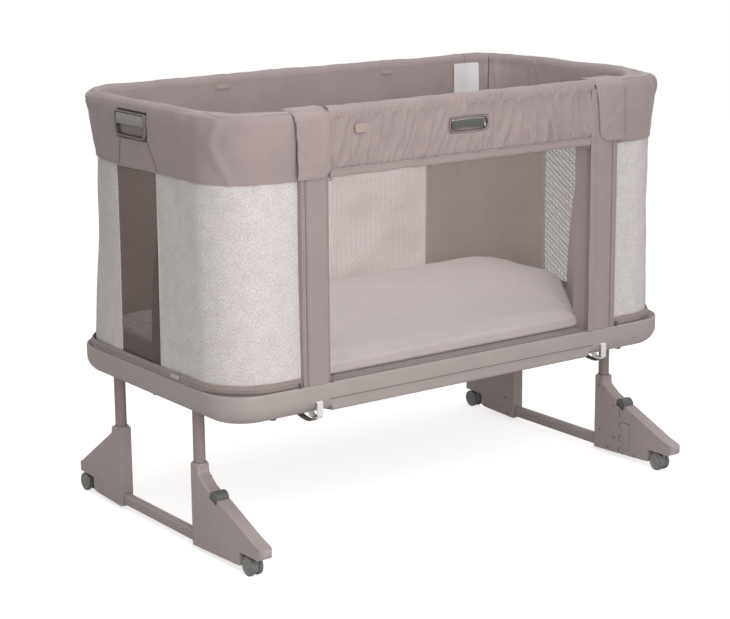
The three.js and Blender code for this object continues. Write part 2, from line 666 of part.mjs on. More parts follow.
// ---------------------------------------------------------------- anchor hooks under the front edge
function makeHook() {
  const { x, width, thickness, topZ, drop } = hook;
  const face = -tray.halfDepth - gap;
  const out = face - thickness - 1.5;
  const low = topZ - drop;
  const curl = face + 24;
  const outline = [
    [face + 21, topZ], [out + 3, topZ], [out, topZ - 3], [out, low + 5], [out + 5, low], [curl, low], [curl + 4, low + 7],
    [curl + 1, low + 7], [curl - 2, low + thickness], [out + 6, low + thickness], [out + thickness, low + 6],
    [out + thickness, topZ - thickness], [face + 21, topZ - thickness],
  ];
  return prismX(outline, -x - width / 2, -x + width / 2);
}

// ---------------------------------------------------------------- leg frames
const legOuter = -leg.x - leg.width / 2;
const legInner = -leg.x + leg.width / 2;
const slopeRun = new THREE.Vector2(slope.endY - slope.topY, slope.endZ - slope.topZ).normalize();
const slopeUp = new THREE.Vector2(slopeRun.y, -slopeRun.x);
const slopeZ = (y) => slope.topZ + ((y - slope.topY) * (slope.endZ - slope.topZ)) / (slope.endY - slope.topY);
const pinX = legInner - hingePin.inset;
const pinY = foot.seamY - gap - hingePin.inset;
const tongue = { depth: 20, topZ: 90, width: 11.5 };

// the hinge lugs of the column sit at these heights; the foot is cut away there
const lugLevels = [hingePin.bottomZ + 10, (hingePin.bottomZ + hingePin.topZ) / 2 - 6, hingePin.topZ - 22];

function crossbarOutline(grow) {
  const { halfWidth, height, bottomZ } = crossbar;
  const half = halfWidth + grow;
  const z = bottomZ + height / 2;
  const tall = height / 2 + grow;
  const corners = [[-half, z - tall], [half, z - tall], [half, z + tall], [-half, z + tall]];
  return rounded(corners.map(([x, height]) => [x - leg.x, height, half * 0.9]));
}

// the button outline in [y, z], drawn along the slope and standing square to it
function buttonOutline(grow, below, above) {
  const { halfLength, centreY } = button;
  const centre = new THREE.Vector2(centreY, slopeZ(centreY));
  const half = halfLength + grow;
  return [[-half, -below], [half, -below], ...above(half)].map(([along, up]) => {
    const spot = centre.clone().addScaledVector(slopeRun, along).addScaledVector(slopeUp, up);
    return [spot.x, spot.y];
  });
}

const domed = (half) => arc(0, -2, half, button.above + 2, 0, 180, 8);
const openTop = (half) => [[half, 40], [-half, 40]];

function makeFrontHousing() {
  const back = leg.frontY + column.bore + column.wall;
  const neck = leg.frontY - column.bore - column.wall;
  const outline = rounded([
    [back, column.footZ], [back, leg.topZ], [neck, leg.topZ], [neck, leg.topZ - 15, 12],
    [slope.topY + 4, slopeZ(slope.topY + 4), 8], [foot.seamY, slopeZ(foot.seamY)], [foot.seamY, column.footZ + 3],
  ]);
  const body = prismX(outline, legOuter, legInner);
  const lap = box(legOuter, legOuter + tongue.width, foot.seamY - tongue.depth, foot.seamY + 1, column.footZ + 3.5, tongue.topZ);
  const bore = rodZ(-leg.x, leg.frontY, column.bore, column.boreFloorZ, leg.topZ + 1, 20);
  const socket = prismY(crossbarOutline(gap), back - crossbar.tenon - gap, back + 1);
  const lugs = lugLevels.map((z) => join(
    rodZ(pinX, pinY, hingePin.inset - 0.2, z, z + hingePin.lugHeight),
    box(pinX - hingePin.inset + 0.2, pinX + hingePin.inset - 0.2, pinY, foot.seamY + 1, z, z + hingePin.lugHeight)));
  const pin = rodZ(pinX, pinY, hingePin.radius, hingePin.bottomZ, hingePin.topZ, 12);
  const room = buttonOutline(button.swing, button.below + button.travel + running, openTop);
  const buttonRoom = prismX(room, legOuter - 1, legInner + 1);
  return join(cut(join(body, lap, ...lugs), bore, socket, buttonRoom), pin);
}

function footOutline() {
  const { seamY, tipY, noseZ, underZ, heelZ } = foot;
  const back = seamY - gap;
  return rounded([
    [back, column.footZ + 3], [back, slopeZ(back)], [slope.endY, slope.endZ, 20], [tipY, noseZ + 9, 6], [tipY, noseZ, 6],
    [tipY + 14, underZ, 6], [notch.frontY, underZ], [notch.frontY, heelZ], [notch.frontY + 14, heelZ - 1],
  ], 4);
}

// rounds the nose of a foot in plan
function noseMask(tipY) {
  const half = leg.width / 2;
  const toward = Math.sign(tipY);
  const outline = rounded([
    [legOuter, tipY, half - 0.5], [legOuter, -tipY], [legInner, -tipY], [legInner, tipY, half - 0.5],
  ], 5);
  return prismZ(toward < 0 ? outline : outline.reverse(), -1, leg.topZ + 5);
}

function makeFrontFoot() {
  const { radius, inset, bottomZ, topZ, lugHeight } = hingePin;
  const body = prismX(footOutline(), legOuter, legInner).intersect(noseMask(foot.tipY));
  const pocket = prismX(buttonOutline(running, button.below + button.travel + running, openTop), legOuter - 1, legInner + 1);
  const lapX = legOuter + tongue.width + 1.3;
  const lap = box(legOuter - 1, lapX, foot.seamY - tongue.depth - 0.5, foot.seamY + 1, -1, tongue.topZ + 0.5);
  const square = box(pinX, pinX + inset + 1, pinY, pinY + inset + 1, -1, leg.topZ);
  const roundEdge = rodZ(pinX, pinY, inset, -2, leg.topZ + 1, 24);
  const reach = inset + 0.6;
  const notches = lugLevels.map((z) => box(pinX - reach, pinX + 9, pinY - reach, pinY + 9, z - 0.5, z + lugHeight + 0.5));
  const pinHole = rodZ(pinX, pinY, radius + running, bottomZ - gap, topZ + gap);
  const stemBore = rodZ(-leg.x, caster.frontY, caster.stem + running, 20, caster.stemTopZ + gap);
  const latchPlate = box(legInner - 1.5, legInner + 1, -231, -209, 22, 83);
  return cut(body, pocket, lap, cut(square, roundEdge), ...notches, pinHole, stemBore, latchPlate);
}

function makeButton() {
  return prismX(buttonOutline(0, button.below, domed), legOuter + 0.5, legInner - 0.5);
}

function makeRearHousing() {
  const front = leg.rearY - column.bore - column.wall;
  const neck = leg.rearY + column.bore + column.wall;
  const { rearTipY, noseZ, underZ, heelZ } = foot;
  const outline = rounded([
    [front, column.footZ], [notch.rearY - 14, heelZ - 3], [notch.rearY, heelZ, 4], [notch.rearY, underZ],
    [rearTipY - 7, underZ, 4], [rearTipY, noseZ - 5, 3.5], [rearTipY, noseZ + 6, 8], [rearSlope.endY, rearSlope.endZ, 16],
    [neck + 2, leg.topZ - 14, 8], [neck, leg.topZ], [front, leg.topZ],
  ], 4);
  const body = prismX(outline, legOuter, legInner).intersect(noseMask(rearTipY));
  const bore = rodZ(-leg.x, leg.rearY, column.bore, column.boreFloorZ, leg.topZ + 1, 20);
  const socket = prismY(crossbarOutline(gap), front - 1, front + crossbar.tenon + gap);
  const stemBore = rodZ(-leg.x, caster.rearY, caster.stem + running, 20, caster.stemTopZ + gap);
  return cut(body, bore, socket, stemBore);
}

function makeCrossbar() {
  const from = leg.frontY + column.bore + column.wall - crossbar.tenon;
  const to = leg.rearY - column.bore - column.wall + crossbar.tenon;
  const shell = prismY(crossbarOutline(0), from, to);
  return cut(shell, prismY(crossbarOutline(-crossbar.wall), from - 1, to + 1));
}

// ---------------------------------------------------------------- casters
function makeFork(swivelY) {
  const wheelY = swivelY + caster.trail;
  const half = caster.hood / 2;
  const hood = rodX(wheelY, caster.radius, caster.radius - 3, -leg.x - half, -leg.x + half, 16);
  const neck = box(-leg.x - half, -leg.x + half, swivelY - 8, swivelY + 8, caster.radius + 6, foot.underZ - 1);
  const stem = rodZ(-leg.x, swivelY, caster.stem, caster.radius + 10, caster.stemTopZ, 12);
  const axleBore = rodX(wheelY, caster.radius, 2.5 + running, -leg.x - half - 1, -leg.x + half + 1, 12);
  return cut(join(hood, neck, stem), axleBore);
}

// twin wheels on one axle; a flat of the tread stands on the floor
function makeWheels(swivelY) {
  const wheelY = swivelY + caster.trail;
  const sides = 24;
  const treadRadius = caster.radius / Math.cos(Math.PI / sides);
  const near = caster.hood / 2 + running;
  const far = near + caster.wheelWidth;
  const discs = [-1, 1].map((hand) => {
    const [from, to] = [-leg.x + hand * near, -leg.x + hand * far];
    const tread = rodX(wheelY, caster.radius, treadRadius, Math.min(from, to), Math.max(from, to), sides);
    return cut(tread, rodX(wheelY, caster.radius, caster.radius - 4, Math.min(to, to - hand), Math.max(to, to - hand)));
  });
  return join(...discs, rodX(wheelY, caster.radius, 2.5, -leg.x - near - 1, -leg.x + near + 1, 12));
}

// ---------------------------------------------------------------- assembly
add('tray', makeTray(), looks.trayPlastic);
add('bed_board', makeBoard(), looks.boardPanel);
add('mattress', makeMattress(), looks.mattressCloth);
add('back_band', makeBackBand(), looks.taupe);
add('back_mesh', makeBackMesh(), looks.meshCloth);
add('skirt_strip', makeSkirt(), looks.taupe);
add('rail_frame_left', makePluggedRailFrame(), looks.tubeMetal);
add('rail_frame_right', mirrored(makeRailFrame(), 1), looks.tubeMetal);

add('front_rail', makeFrontRail(), looks.tubeMetal);
add('front_band', makeFrontBand(), looks.taupe);
add('front_mesh', makeFrontMesh(), looks.meshCloth);
add('front_latch_bezel', makeFrontBezel(), looks.darkGrey);
add('front_latch_lever', makeFrontLever(), looks.handleGrey);

const endPieces = {
  post_sleeve: [makePostSleeve, looks.taupe],
  end_band: [makeEndBand, looks.taupe],
  wall_front: [makeFrontWall, looks.melange],
  wall_back: [makeBackWall, looks.melange],
  end_mesh: [makeEndMesh, looks.meshCloth],
  corner_lining: [makeLining, looks.taupe],
  end_bezel: [makeEndBezel, looks.handleGrey],
  end_pull: [makeEndPull, looks.handleGrey],
  side_guide: [makeSideGuide, looks.trayPlastic],
  anchor_hook: [makeHook, looks.whitePlastic],
  leg_tube_front: [() => hollowBar(tubePath(leg.frontY), legTube.radius, legTube.wall), looks.tubeMetal],
  leg_tube_rear: [() => hollowBar(tubePath(leg.rearY), legTube.radius, legTube.wall), looks.tubeMetal],
  housing_front: [makeFrontHousing, looks.legPlastic],
  housing_rear: [makeRearHousing, looks.legPlastic],
  crossbar: [makeCrossbar, looks.tubeMetal],
  front_foot: [makeFrontFoot, looks.legPlastic],
  fold_button: [makeButton, looks.darkGrey],
  caster_fork_front: [() => makeFork(caster.frontY), looks.wheelGrey],
  caster_fork_rear: [() => makeFork(caster.rearY), looks.wheelGrey],
  caster_wheels_front: [() => makeWheels(caster.frontY), looks.wheelGrey],
  caster_wheels_rear: [() => makeWheels(caster.rearY), looks.wheelGrey],
  catch_front: [() => makeCatch(leg.frontY), looks.darkGrey],
  catch_rear: [() => makeCatch(leg.rearY), looks.darkGrey],
};

ends.forEach(([label, side]) => {
  Object.entries(endPieces).forEach(([name, [make, material]]) => {
    add(`${name}_${label}`, mirrored(make(), side), material);
  });
});

export default bassinet;
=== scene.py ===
# %% [markdown]
# # A bedside bassinet on two folding leg frames
#
# The real thing is a moulded tray with a padded sleeping space above it, sewn from
# taupe cloth, speckled melange panels and see-through net, on two leg frames with
# twin wheels. One long side drops down on a hand latch.
#
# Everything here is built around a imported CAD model, which fixes the sizes. Hard
# pieces come from the CAD solids with softened edges, and soft pieces are made new,
# as cloth that follows the same lines.

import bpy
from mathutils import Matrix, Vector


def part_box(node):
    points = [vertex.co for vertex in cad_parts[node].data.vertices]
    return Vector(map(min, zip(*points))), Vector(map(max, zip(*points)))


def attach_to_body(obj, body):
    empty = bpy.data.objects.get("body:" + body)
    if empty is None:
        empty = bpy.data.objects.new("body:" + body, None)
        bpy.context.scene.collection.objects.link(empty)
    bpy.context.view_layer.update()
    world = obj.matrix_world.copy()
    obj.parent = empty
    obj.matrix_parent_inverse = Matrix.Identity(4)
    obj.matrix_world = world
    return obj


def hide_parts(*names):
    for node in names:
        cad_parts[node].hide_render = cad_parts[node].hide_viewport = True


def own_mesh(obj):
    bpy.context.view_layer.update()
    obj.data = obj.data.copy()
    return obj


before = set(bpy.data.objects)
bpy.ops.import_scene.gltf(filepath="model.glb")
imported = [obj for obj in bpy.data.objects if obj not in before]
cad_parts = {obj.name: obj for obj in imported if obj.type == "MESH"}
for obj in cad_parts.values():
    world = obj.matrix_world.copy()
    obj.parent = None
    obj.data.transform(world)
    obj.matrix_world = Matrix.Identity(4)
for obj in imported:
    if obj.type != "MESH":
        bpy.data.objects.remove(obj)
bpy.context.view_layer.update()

# %% The tools that every cell shares
import math

import bmesh
import bpy
import numpy as np
from mathutils import Matrix, Vector

ENDS = (("left", -1), ("right", 1))  # the right end mirrors the left one

# %% [markdown]
# Lengths are easier to read in millimetres, and the bed's own middle is easier to
# think about than the middle of the whole model, whose feet reach further forward.
# So shapes are written in millimetres from the bed's middle, and one helper turns
# them into metres in the model's frame when a mesh is made.

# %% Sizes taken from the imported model
def row_box(node):
    low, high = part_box(node)
    return np.array(low) * 1000, np.array(high) * 1000


tray_low, tray_high = row_box("tray")
BED_BACK = float(tray_low[1] + tray_high[1]) / 2


def bed_box(node):
    low, high = row_box(node)
    return low - (0, BED_BACK, 0), high - (0, BED_BACK, 0)


RIM = float(tray_high[2])
band_low, band_high = bed_box("end_band_left")
wall_low = bed_box("wall_front_left")[0]
SWELL = 20.0  # how far the padded band stands out from the middle of its rail
CREST = 15.0  # and how far it stands above
RAIL_X = -float(band_low[0]) - SWELL
RAIL_BACK = float(band_high[1]) - SWELL
RAIL_FRONT = float(wall_low[1]) + 13.0
RAIL_Z = float(band_high[2]) - CREST
HEM_Z = float(band_low[2]) + 2.0
CORNER = 90.0
print(f"bed middle {BED_BACK:.1f} mm back, rim {RIM:.0f}")
print(f"rail at x {RAIL_X:.0f}, y {RAIL_FRONT:.0f} to {RAIL_BACK:.0f}, z {RAIL_Z:.0f}")

# %% Turn millimetres in the bed's frame into a mesh in the model's frame
def to_model(points):
    return (np.asarray(points, float) + (0, BED_BACK, 0)) * 0.001


def new_object(name, mesh, materials=()):
    piece = bpy.data.objects.new(name, mesh)
    bpy.context.scene.collection.objects.link(piece)
    for material in materials:
        mesh.materials.append(material)
    return piece


def shade(mesh, sharp_deg=40):
    mesh.shade_smooth()
    mesh.set_sharp_from_angle(angle=math.radians(sharp_deg))


def face_outwards(mesh, weld=None):
    work = bmesh.new()
    work.from_mesh(mesh)
    if weld is not None:
        bmesh.ops.remove_doubles(work, verts=work.verts, dist=weld)
    bmesh.ops.recalc_face_normals(work, faces=work.faces)
    work.to_mesh(mesh)
    work.free()


def as_mesh(work, name):
    mesh = bpy.data.meshes.new(name)
    work.to_mesh(mesh)
    work.free()
    return mesh


# %% [markdown]
# Most soft pieces are lofts: a cross section is carried along a line and the rings
# are joined with quads. The helper below also lays out a UV map in metres of cloth,
# so that a weave keeps its true thread size wherever the surface bends.

# %% Loft a grid of rings into a closed skin
def loft(name, rings, materials, strips=None, closed=True, sharp_deg=40, ring_slots=None):
    rings = np.asarray(rings, float)
    count, around = rings.shape[:2]
    wrapped = np.concatenate([rings, rings[:, :1]], axis=1) if closed else rings
    step_along = np.linalg.norm(np.diff(rings, axis=0), axis=2).mean(axis=1)
    step_round = np.linalg.norm(np.diff(wrapped, axis=1), axis=2).mean(axis=0)
    u = np.concatenate([[0], np.cumsum(step_along)]) * 0.001
    v = np.concatenate([[0], np.cumsum(step_round)]) * 0.001
    faces, uvs, slots = [], [], []
    for i in range(count - 1):
        for j in range(wrapped.shape[1] - 1):
            k = (j + 1) % around
            faces.append((i * around + j, i * around + k, (i + 1) * around + k, (i + 1) * around + j))
            uvs.extend([(u[i], v[j]), (u[i], v[j + 1]), (u[i + 1], v[j + 1]), (u[i + 1], v[j])])
            slots.append(int(strips[j]) if strips is not None else int(ring_slots[i]) if ring_slots is not None else 0)
    if closed:
        for i, order in ((0, range(around - 1, -1, -1)), (count - 1, range(around))):
            faces.append(tuple(i * around + j for j in order))
            uvs.extend([(u[i], v[j]) for j in order])
            slots.append(int(ring_slots[-1]) if ring_slots is not None and i else 0)
    mesh = bpy.data.meshes.new(name)
    mesh.from_pydata(to_model(rings.reshape(-1, 3)).tolist(), [], faces)
    layer = mesh.uv_layers.new(name="cloth")
    layer.data.foreach_set("uv", np.array(uvs, np.float32).ravel())
    mesh.polygons.foreach_set("material_index", slots)
    if closed:
        face_outwards(mesh)
    shade(mesh, sharp_deg)
    return new_object(name, mesh, materials)


# %% Lines and unevenness for cloth
def smooth_line(corners, count, closed=False):
    """A smooth curve through the corners, resampled to evenly spaced points."""
    corners = np.asarray(corners, float)
    padded = np.concatenate([corners[-1:], corners, corners[:2]]) if closed else np.concatenate(
        [2 * corners[:1] - corners[1:2], corners, 2 * corners[-1:] - corners[-2:-1]])
    t = np.linspace(0, 1, 12, endpoint=False)[:, None]
    pieces = []
    for a, b, c, d in zip(padded, padded[1:], padded[2:], padded[3:]):
        pieces.append(0.5 * (2 * b + (c - a) * t + (2 * a - 5 * b + 4 * c - d) * t**2 + (3 * b - a - 3 * c + d) * t**3))
    line = np.concatenate(pieces + [corners[:1] if closed else corners[-1:]])
    run = np.concatenate([[0], np.cumsum(np.linalg.norm(np.diff(line, axis=0), axis=1))])
    at = np.linspace(0, run[-1], count + 1)[:-1] if closed else np.linspace(0, run[-1], count)
    return np.stack([np.interp(at, run, line[:, k]) for k in range(line.shape[1])], axis=1)


def lumps(u, v, seed, size, amount, waves=14):
    """Soft unevenness about `size` mm across and `amount` mm deep, the same on every run."""
    dice = np.random.default_rng(seed)
    total = np.zeros(np.broadcast(u, v).shape)
    for _ in range(waves):
        turn = dice.uniform(0, 2 * math.pi)
        wave = 2 * math.pi / (size * dice.uniform(0.6, 1.7))
        total += np.sin(wave * (u * math.cos(turn) + v * math.sin(turn)) + dice.uniform(0, 2 * math.pi))
    return amount * total / math.sqrt(waves)


def crease(u, v, start, end, width, height):
    """A ridge, or with a negative height a groove, along the line from start to end in (u, v)."""
    (u0, v0), (u1, v1) = start, end
    long = math.hypot(u1 - u0, v1 - v0)
    du, dv = (u1 - u0) / long, (v1 - v0) / long
    along = (u - u0) * du + (v - v0) * dv
    aside = (u - u0) * dv - (v - v0) * du
    fade = np.clip(np.minimum(along, long - along) / (0.3 * long) + 0.5, 0, 1)
    return height * np.exp(-((aside / width) ** 2)) * fade**2 * (3 - 2 * fade)


def normals_of(rings):
    """Outward normals of a grid of closed rings, by the difference between neighbours."""
    wrapped = np.concatenate([rings[:, -1:], rings, rings[:, :1]], axis=1)
    normal = np.cross(np.gradient(rings, axis=0), wrapped[:, 2:] - wrapped[:, :-2])
    normal /= np.linalg.norm(normal, axis=2, keepdims=True) + 1e-9
    away = rings - rings.mean(axis=1, keepdims=True)
    return normal if (normal * away).sum() > 0 else -normal


def mirrored(rings, side):
    """The left end's rings as they are, or turned over to the right end."""
    return rings if side < 0 else rings * (-1, 1, 1)


def attach(piece, body, slot, *replaced):
    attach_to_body(piece, body)
    if replaced:
        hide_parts(*replaced)
    return piece


def padded_piece(name, rings, material, fill, *replaced, body="crib", slot="taupe_fabric", strips=None, sharp_deg=60):
    """A closed loft, set on its body."""
    materials = material if isinstance(material, list) else [material]
    piece = attach(loft(name, rings, materials, strips=strips, sharp_deg=sharp_deg), body, slot, *replaced)
    return piece


def bump_at(value, place, width):
    """A smooth hump of height 1 at the place, and nearly nothing two widths away."""
    return np.exp(-(((value - place) / width) ** 2))


# %% [markdown]
# The view comes early, because every later choice of detail is judged through it:
# a long lens from a little above, looking along the bed from its front left corner.

# %% Set the camera
def place_camera(eye, target, lens, roll_deg):
    data = bpy.data.cameras.new("camera")
    data.lens = lens
    data.sensor_width = 36
    data.clip_end = 100
    camera = bpy.data.objects.new("camera", data)
    bpy.context.scene.collection.objects.link(camera)
    eye, target = Vector(to_model(eye)), Vector(to_model(target))
    look = (target - eye).to_track_quat("-Z", "Y").to_matrix().to_4x4()
    camera.matrix_world = Matrix.Translation(eye) @ look @ Matrix.Rotation(math.radians(roll_deg), 4, "Z")
    bpy.context.scene.camera = camera
    return camera


camera = place_camera((-2347.9, -3195.5, 1305.7), (-32.7, 0, 375.5), 96.39, -0.5)
print("camera at", [round(v, 3) for v in camera.location])

# %% [markdown]
# The light is that of a plain studio: an even pale room, one soft lamp close to the
# front left corner, so that the front darkens a little to the right, and one above.
# The floor looks white to the camera and still takes a soft shadow.

# %% Add a node in one line
def put(tree, node, **values):
    """Give sockets a number, or link them to another node's output."""
    for name, value in values.items():
        socket = node.inputs[name.replace("_", " ")]
        if isinstance(value, bpy.types.NodeSocket):
            tree.links.new(value, socket)
        else:
            socket.default_value = value
    return node


def shader_node(tree, kind, **values):
    return put(tree, tree.nodes.new("ShaderNode" + kind), **values)


def picked(tree, share, first, second):
    """The first shader where the share is 0, the second where it is 1."""
    pick = shader_node(tree, "MixShader", Fac=share)
    tree.links.new(first.outputs[0], pick.inputs[1])
    tree.links.new(second.outputs[0], pick.inputs[2])
    return pick.outputs[0]


def larger(tree, a, b):
    node = shader_node(tree, "Math")
    node.operation = "MAXIMUM"
    tree.links.new(a, node.inputs[0])
    tree.links.new(b, node.inputs[1])
    return node.outputs[0]


# %% Room light
def make_room():
    world = bpy.data.worlds.new("room")
    bpy.context.scene.world = world
    world.use_nodes = True
    tree = world.node_tree
    tree.nodes.clear()
    rays = shader_node(tree, "LightPath").outputs
    room = shader_node(tree, "Background", Color=(1.0, 0.985, 0.975, 1), Strength=0.405)
    seen = shader_node(tree, "Background", Color=(1, 1, 1, 1), Strength=1.0)
    mirrors = larger(tree, rays["Is Camera Ray"], rays["Is Glossy Ray"])
    white = larger(tree, mirrors, rays["Is Transmission Ray"])
    shader_node(tree, "OutputWorld", Surface=picked(tree, white, room, seen))
    bpy.context.scene.view_settings.view_transform = "Standard"


make_room()


# %% Lamps
def soft_lamp(name, place, aim, size, watts):
    data = bpy.data.lights.new(name, "AREA")
    data.shape = "RECTANGLE"
    data.size, data.size_y = size
    data.energy = watts
    lamp = bpy.data.objects.new(name, data)
    bpy.context.scene.collection.objects.link(lamp)
    look = (Vector(aim) - Vector(place)).to_track_quat("-Z", "Y").to_matrix().to_4x4()
    lamp.matrix_world = Matrix.Translation(place) @ look


soft_lamp("front_lamp", (-0.85, -2.2, 1.5), (-0.25, 0, 0.5), (1.4, 1.2), 29.5)
soft_lamp("top_lamp", (0.1, -0.5, 3.4), (0, 0, 0.4), (2.6, 2.0), 34)


# %% Floor
def make_floor():
    mesh = bpy.data.meshes.new("floor")
    mesh.from_pydata([(-12, -12, 0), (12, -12, 0), (12, 12, 0), (-12, 12, 0)], [], [(0, 1, 2, 3)])
    material = bpy.data.materials.new("studio floor")
    material.use_nodes = True
    tree = material.node_tree
    tree.nodes.clear()
    paper = shader_node(tree, "BsdfDiffuse", Color=(0.80, 0.79, 0.78, 1))
    dark, glow = (shader_node(tree, "Emission", Strength=level) for level in (0.0, 0.68))
    seen = shader_node(tree, "LightPath").outputs["Is Camera Ray"]
    both = shader_node(tree, "AddShader")
    tree.links.new(paper.outputs[0], both.inputs[0])
    tree.links.new(picked(tree, seen, dark, glow), both.inputs[1])
    shader_node(tree, "OutputMaterial", Surface=both.outputs[0])
    floor = new_object("floor", mesh, [material])
    floor.location.z = -0.0005


make_floor()
# %% [markdown]
# ## Finishes
# Each finish is a small node tree. Cloth reads the UV map that holds metres of
# cloth, so its threads have a true size; moulded plastic reads Object coordinates.
# Every finish has broad variation, fine grain and its own bump, and what is the same
# all over, such as sheen, is a plain number on the shader.

# %% Short ways to wire a finish
class Finish:
    """A material whose node tree is wired by short calls."""

    def __init__(self, name, roughness, sheen=0.0, coords="UV"):
        self.material = bpy.data.materials.new(name)
        self.material.use_nodes = True
        self.tree = self.material.node_tree
        self.shader = self.tree.nodes["Principled BSDF"]
        self.put(self.shader, Roughness=roughness, Sheen_Weight=sheen, Sheen_Roughness=0.5)
        self.place = self.node("TexCoord").outputs[coords]

    def put(self, node, **values):
        return put(self.tree, node, **values)

    def node(self, kind, **values):
        return shader_node(self.tree, kind, **values)

    def grain(self, size_mm, detail=2.0, rough=0.5, scale=(1, 1, 1)):
        """Noise whose features are about size_mm across."""
        place = self.node("Mapping", Scale=scale, Vector=self.place).outputs[0]
        return self.node("TexNoise", Scale=1000 / size_mm, Detail=detail, Roughness=rough, Vector=place).outputs["Fac"]

    def ribs(self, pitch_mm, direction="X", turn_deg=0):
        """Even ribs across the cloth, one every pitch_mm."""
        place = self.node("Mapping", Rotation=(0, 0, math.radians(turn_deg)), Vector=self.place).outputs[0]
        wave = self.node("TexWave", Scale=math.pi / 10 / (pitch_mm * 0.001), Vector=place)
        wave.bands_direction = direction
        return wave.outputs["Fac"]

    def calc(self, kind, a, b):
        node = self.node("Math")
        node.operation = kind
        for socket, value in zip(node.inputs, (a, b)):
            if isinstance(value, (int, float)):
                socket.default_value = value
            else:
                self.tree.links.new(value, socket)
        return node.outputs[0]

    def ramp(self, value, *stops):
        node = self.node("ValToRGB", Fac=value)
        band = node.color_ramp
        while len(band.elements) < len(stops):
            band.elements.new(0.5)
        for element, (position, color) in zip(band.elements, stops):
            element.position = position
            element.color = (*color, 1)
        return node.outputs["Color"]

    def shades(self, value, color, low, high, start=0.3, stop=0.7):
        """The colour, from low to high times its brightness as the value goes from start to stop."""
        return self.ramp(value, (start, scaled(color, low)), (stop, scaled(color, high)))

    def tinted(self, base, amount):
        mix = self.node("Mix")
        mix.data_type = "RGBA"
        mix.blend_type = "MULTIPLY"
        return self.put(mix, Factor=1.0, A=base, B=amount).outputs["Result"]

    def color(self, value):
        self.put(self.shader, Base_Color=value)

    def bump(self, height, depth_mm, strength, under=None):
        bump = self.node("Bump", Strength=strength, Distance=depth_mm * 0.001, Height=height)
        if under is not None:
            self.put(bump, Normal=under)
        self.put(self.shader, Normal=bump.outputs["Normal"])
        return bump.outputs["Normal"]


def from_screen(r, g, b):
    """A colour written as 0 to 255 on a screen, as the linear values that shaders take."""
    return tuple((c / 12.92) if c <= 0.04045 else ((c + 0.055) / 1.055) ** 2.4 for c in (r / 255, g / 255, b / 255))


def scaled(color, by):
    return tuple(min(1.0, c * by) for c in color)


WHITE = (1.0, 1.0, 1.0)

# %% [markdown]
# The taupe cover cloth is a close twill with a faint sheen. Its broad variation
# follows how the cloth was pulled over the foam, and its ribs are half a millimetre.

# %% Close taupe twill
def twill(name, color, sheen=0.18, uneven=0.05, crumple=0.35, weave=0.05):
    f = Finish(name, 0.78, sheen)
    fine, threads = f.grain(2.2, 2, 0.6), f.ribs(0.9, "X", 35)
    base = f.shades(f.grain(90, 3, 0.5), color, 1 - uneven, 1 + uneven)
    flecked = f.tinted(base, f.shades(fine, WHITE, 0.93, 1.0, 0.35, 0.65))
    f.color(f.tinted(flecked, f.shades(threads, WHITE, 1 - weave, 1.0, 0.0, 1.0)))
    soft = f.bump(f.grain(16, 3, 0.55), 0.55, crumple)
    f.bump(f.calc("ADD", threads, fine), 2.4 * weave, 0.5, soft)
    return f.material


TAUPE = from_screen(165, 150, 149)
taupe_cloth = twill("taupe twill", TAUPE)
# The same twill made 4% lighter, as painted light for the lit front faces of the flaps, hem tape and flap piping
lit_taupe_cloth = twill("taupe twill lightened as painted light", scaled(TAUPE, 1.04))
lining_cloth = twill("taupe lining", from_screen(178, 164, 159), 0.12, 0.03, crumple=0.015, weave=0.006)
skirt_cloth = twill("taupe skirt strip", from_screen(150, 136, 133), 0.2)
post_cloth = twill("taupe post cover", from_screen(162, 147, 146), 0.2)
webbing = twill("strap webbing", from_screen(120, 112, 108), 0.1)


# %% Stitches and cords in the seams
def thread_finish(name, color):
    f = Finish(name, 0.65, 0.1, "Object")
    twist = f.ribs(0.8, "DIAGONAL")
    f.color(f.shades(twist, color, 0.75, 1.1, 0.0, 1.0))
    f.bump(twist, 0.1, 0.6)
    return f.material


seam_thread = thread_finish("seam thread", from_screen(148, 134, 131))
# This darker cord is painted shadow: it stands for the shade in seam grooves and along the flaps' sewn edges. It also
# draws the zip lines and some rows of stitches
dark_seam = thread_finish("seam shadow cord", from_screen(112, 99, 96))
pale_thread = thread_finish("pale thread", from_screen(214, 208, 202))


# %% [markdown]
# The melange panels are woven from thick two-tone yarn. Two stretched noises stand
# for the warp and the weft, each with lighter and darker lengths of yarn, and a
# coarser one for the cloudy look that such cloth has from further off.

# %% Speckled melange panel
def melange(name, dark, middle, light):
    f = Finish(name, 0.9, 0.15)
    warp, weft = f.grain(1.5, 2, 0.7, (1, 0.3, 1)), f.grain(1.5, 2, 0.7, (0.3, 1, 1))
    yarn = f.calc("MULTIPLY", f.calc("ADD", warp, weft), 0.5)
    knots = f.calc("MULTIPLY", f.grain(3.6, 2, 0.65), 0.27)
    clouds = f.calc("MULTIPLY", f.grain(26, 3, 0.6), 0.13)
    mixed = f.calc("ADD", f.calc("MULTIPLY", yarn, 0.6), f.calc("ADD", knots, clouds))
    f.color(f.ramp(mixed, (0.36, dark), (0.47, middle), (0.58, light)))
    weave = f.calc("MULTIPLY", f.ribs(1.4, "X"), f.ribs(1.4, "Y"))
    f.bump(f.calc("ADD", weave, yarn), 0.35, 0.7)
    return f.material


yarns = (from_screen(*shade) for shade in ((181, 174, 172), (207, 200, 199), (230, 225, 225)))
melange_cloth = melange("melange panel", *yarns)


# %% [markdown]
# The windows are knitted net: a lattice of round holes. Three rows of ribs at 120
# degrees add up to a hexagonal lattice of hollows, and where the sum is low the cloth
# is open. How low is worked out from the share of the cloth that should be open.

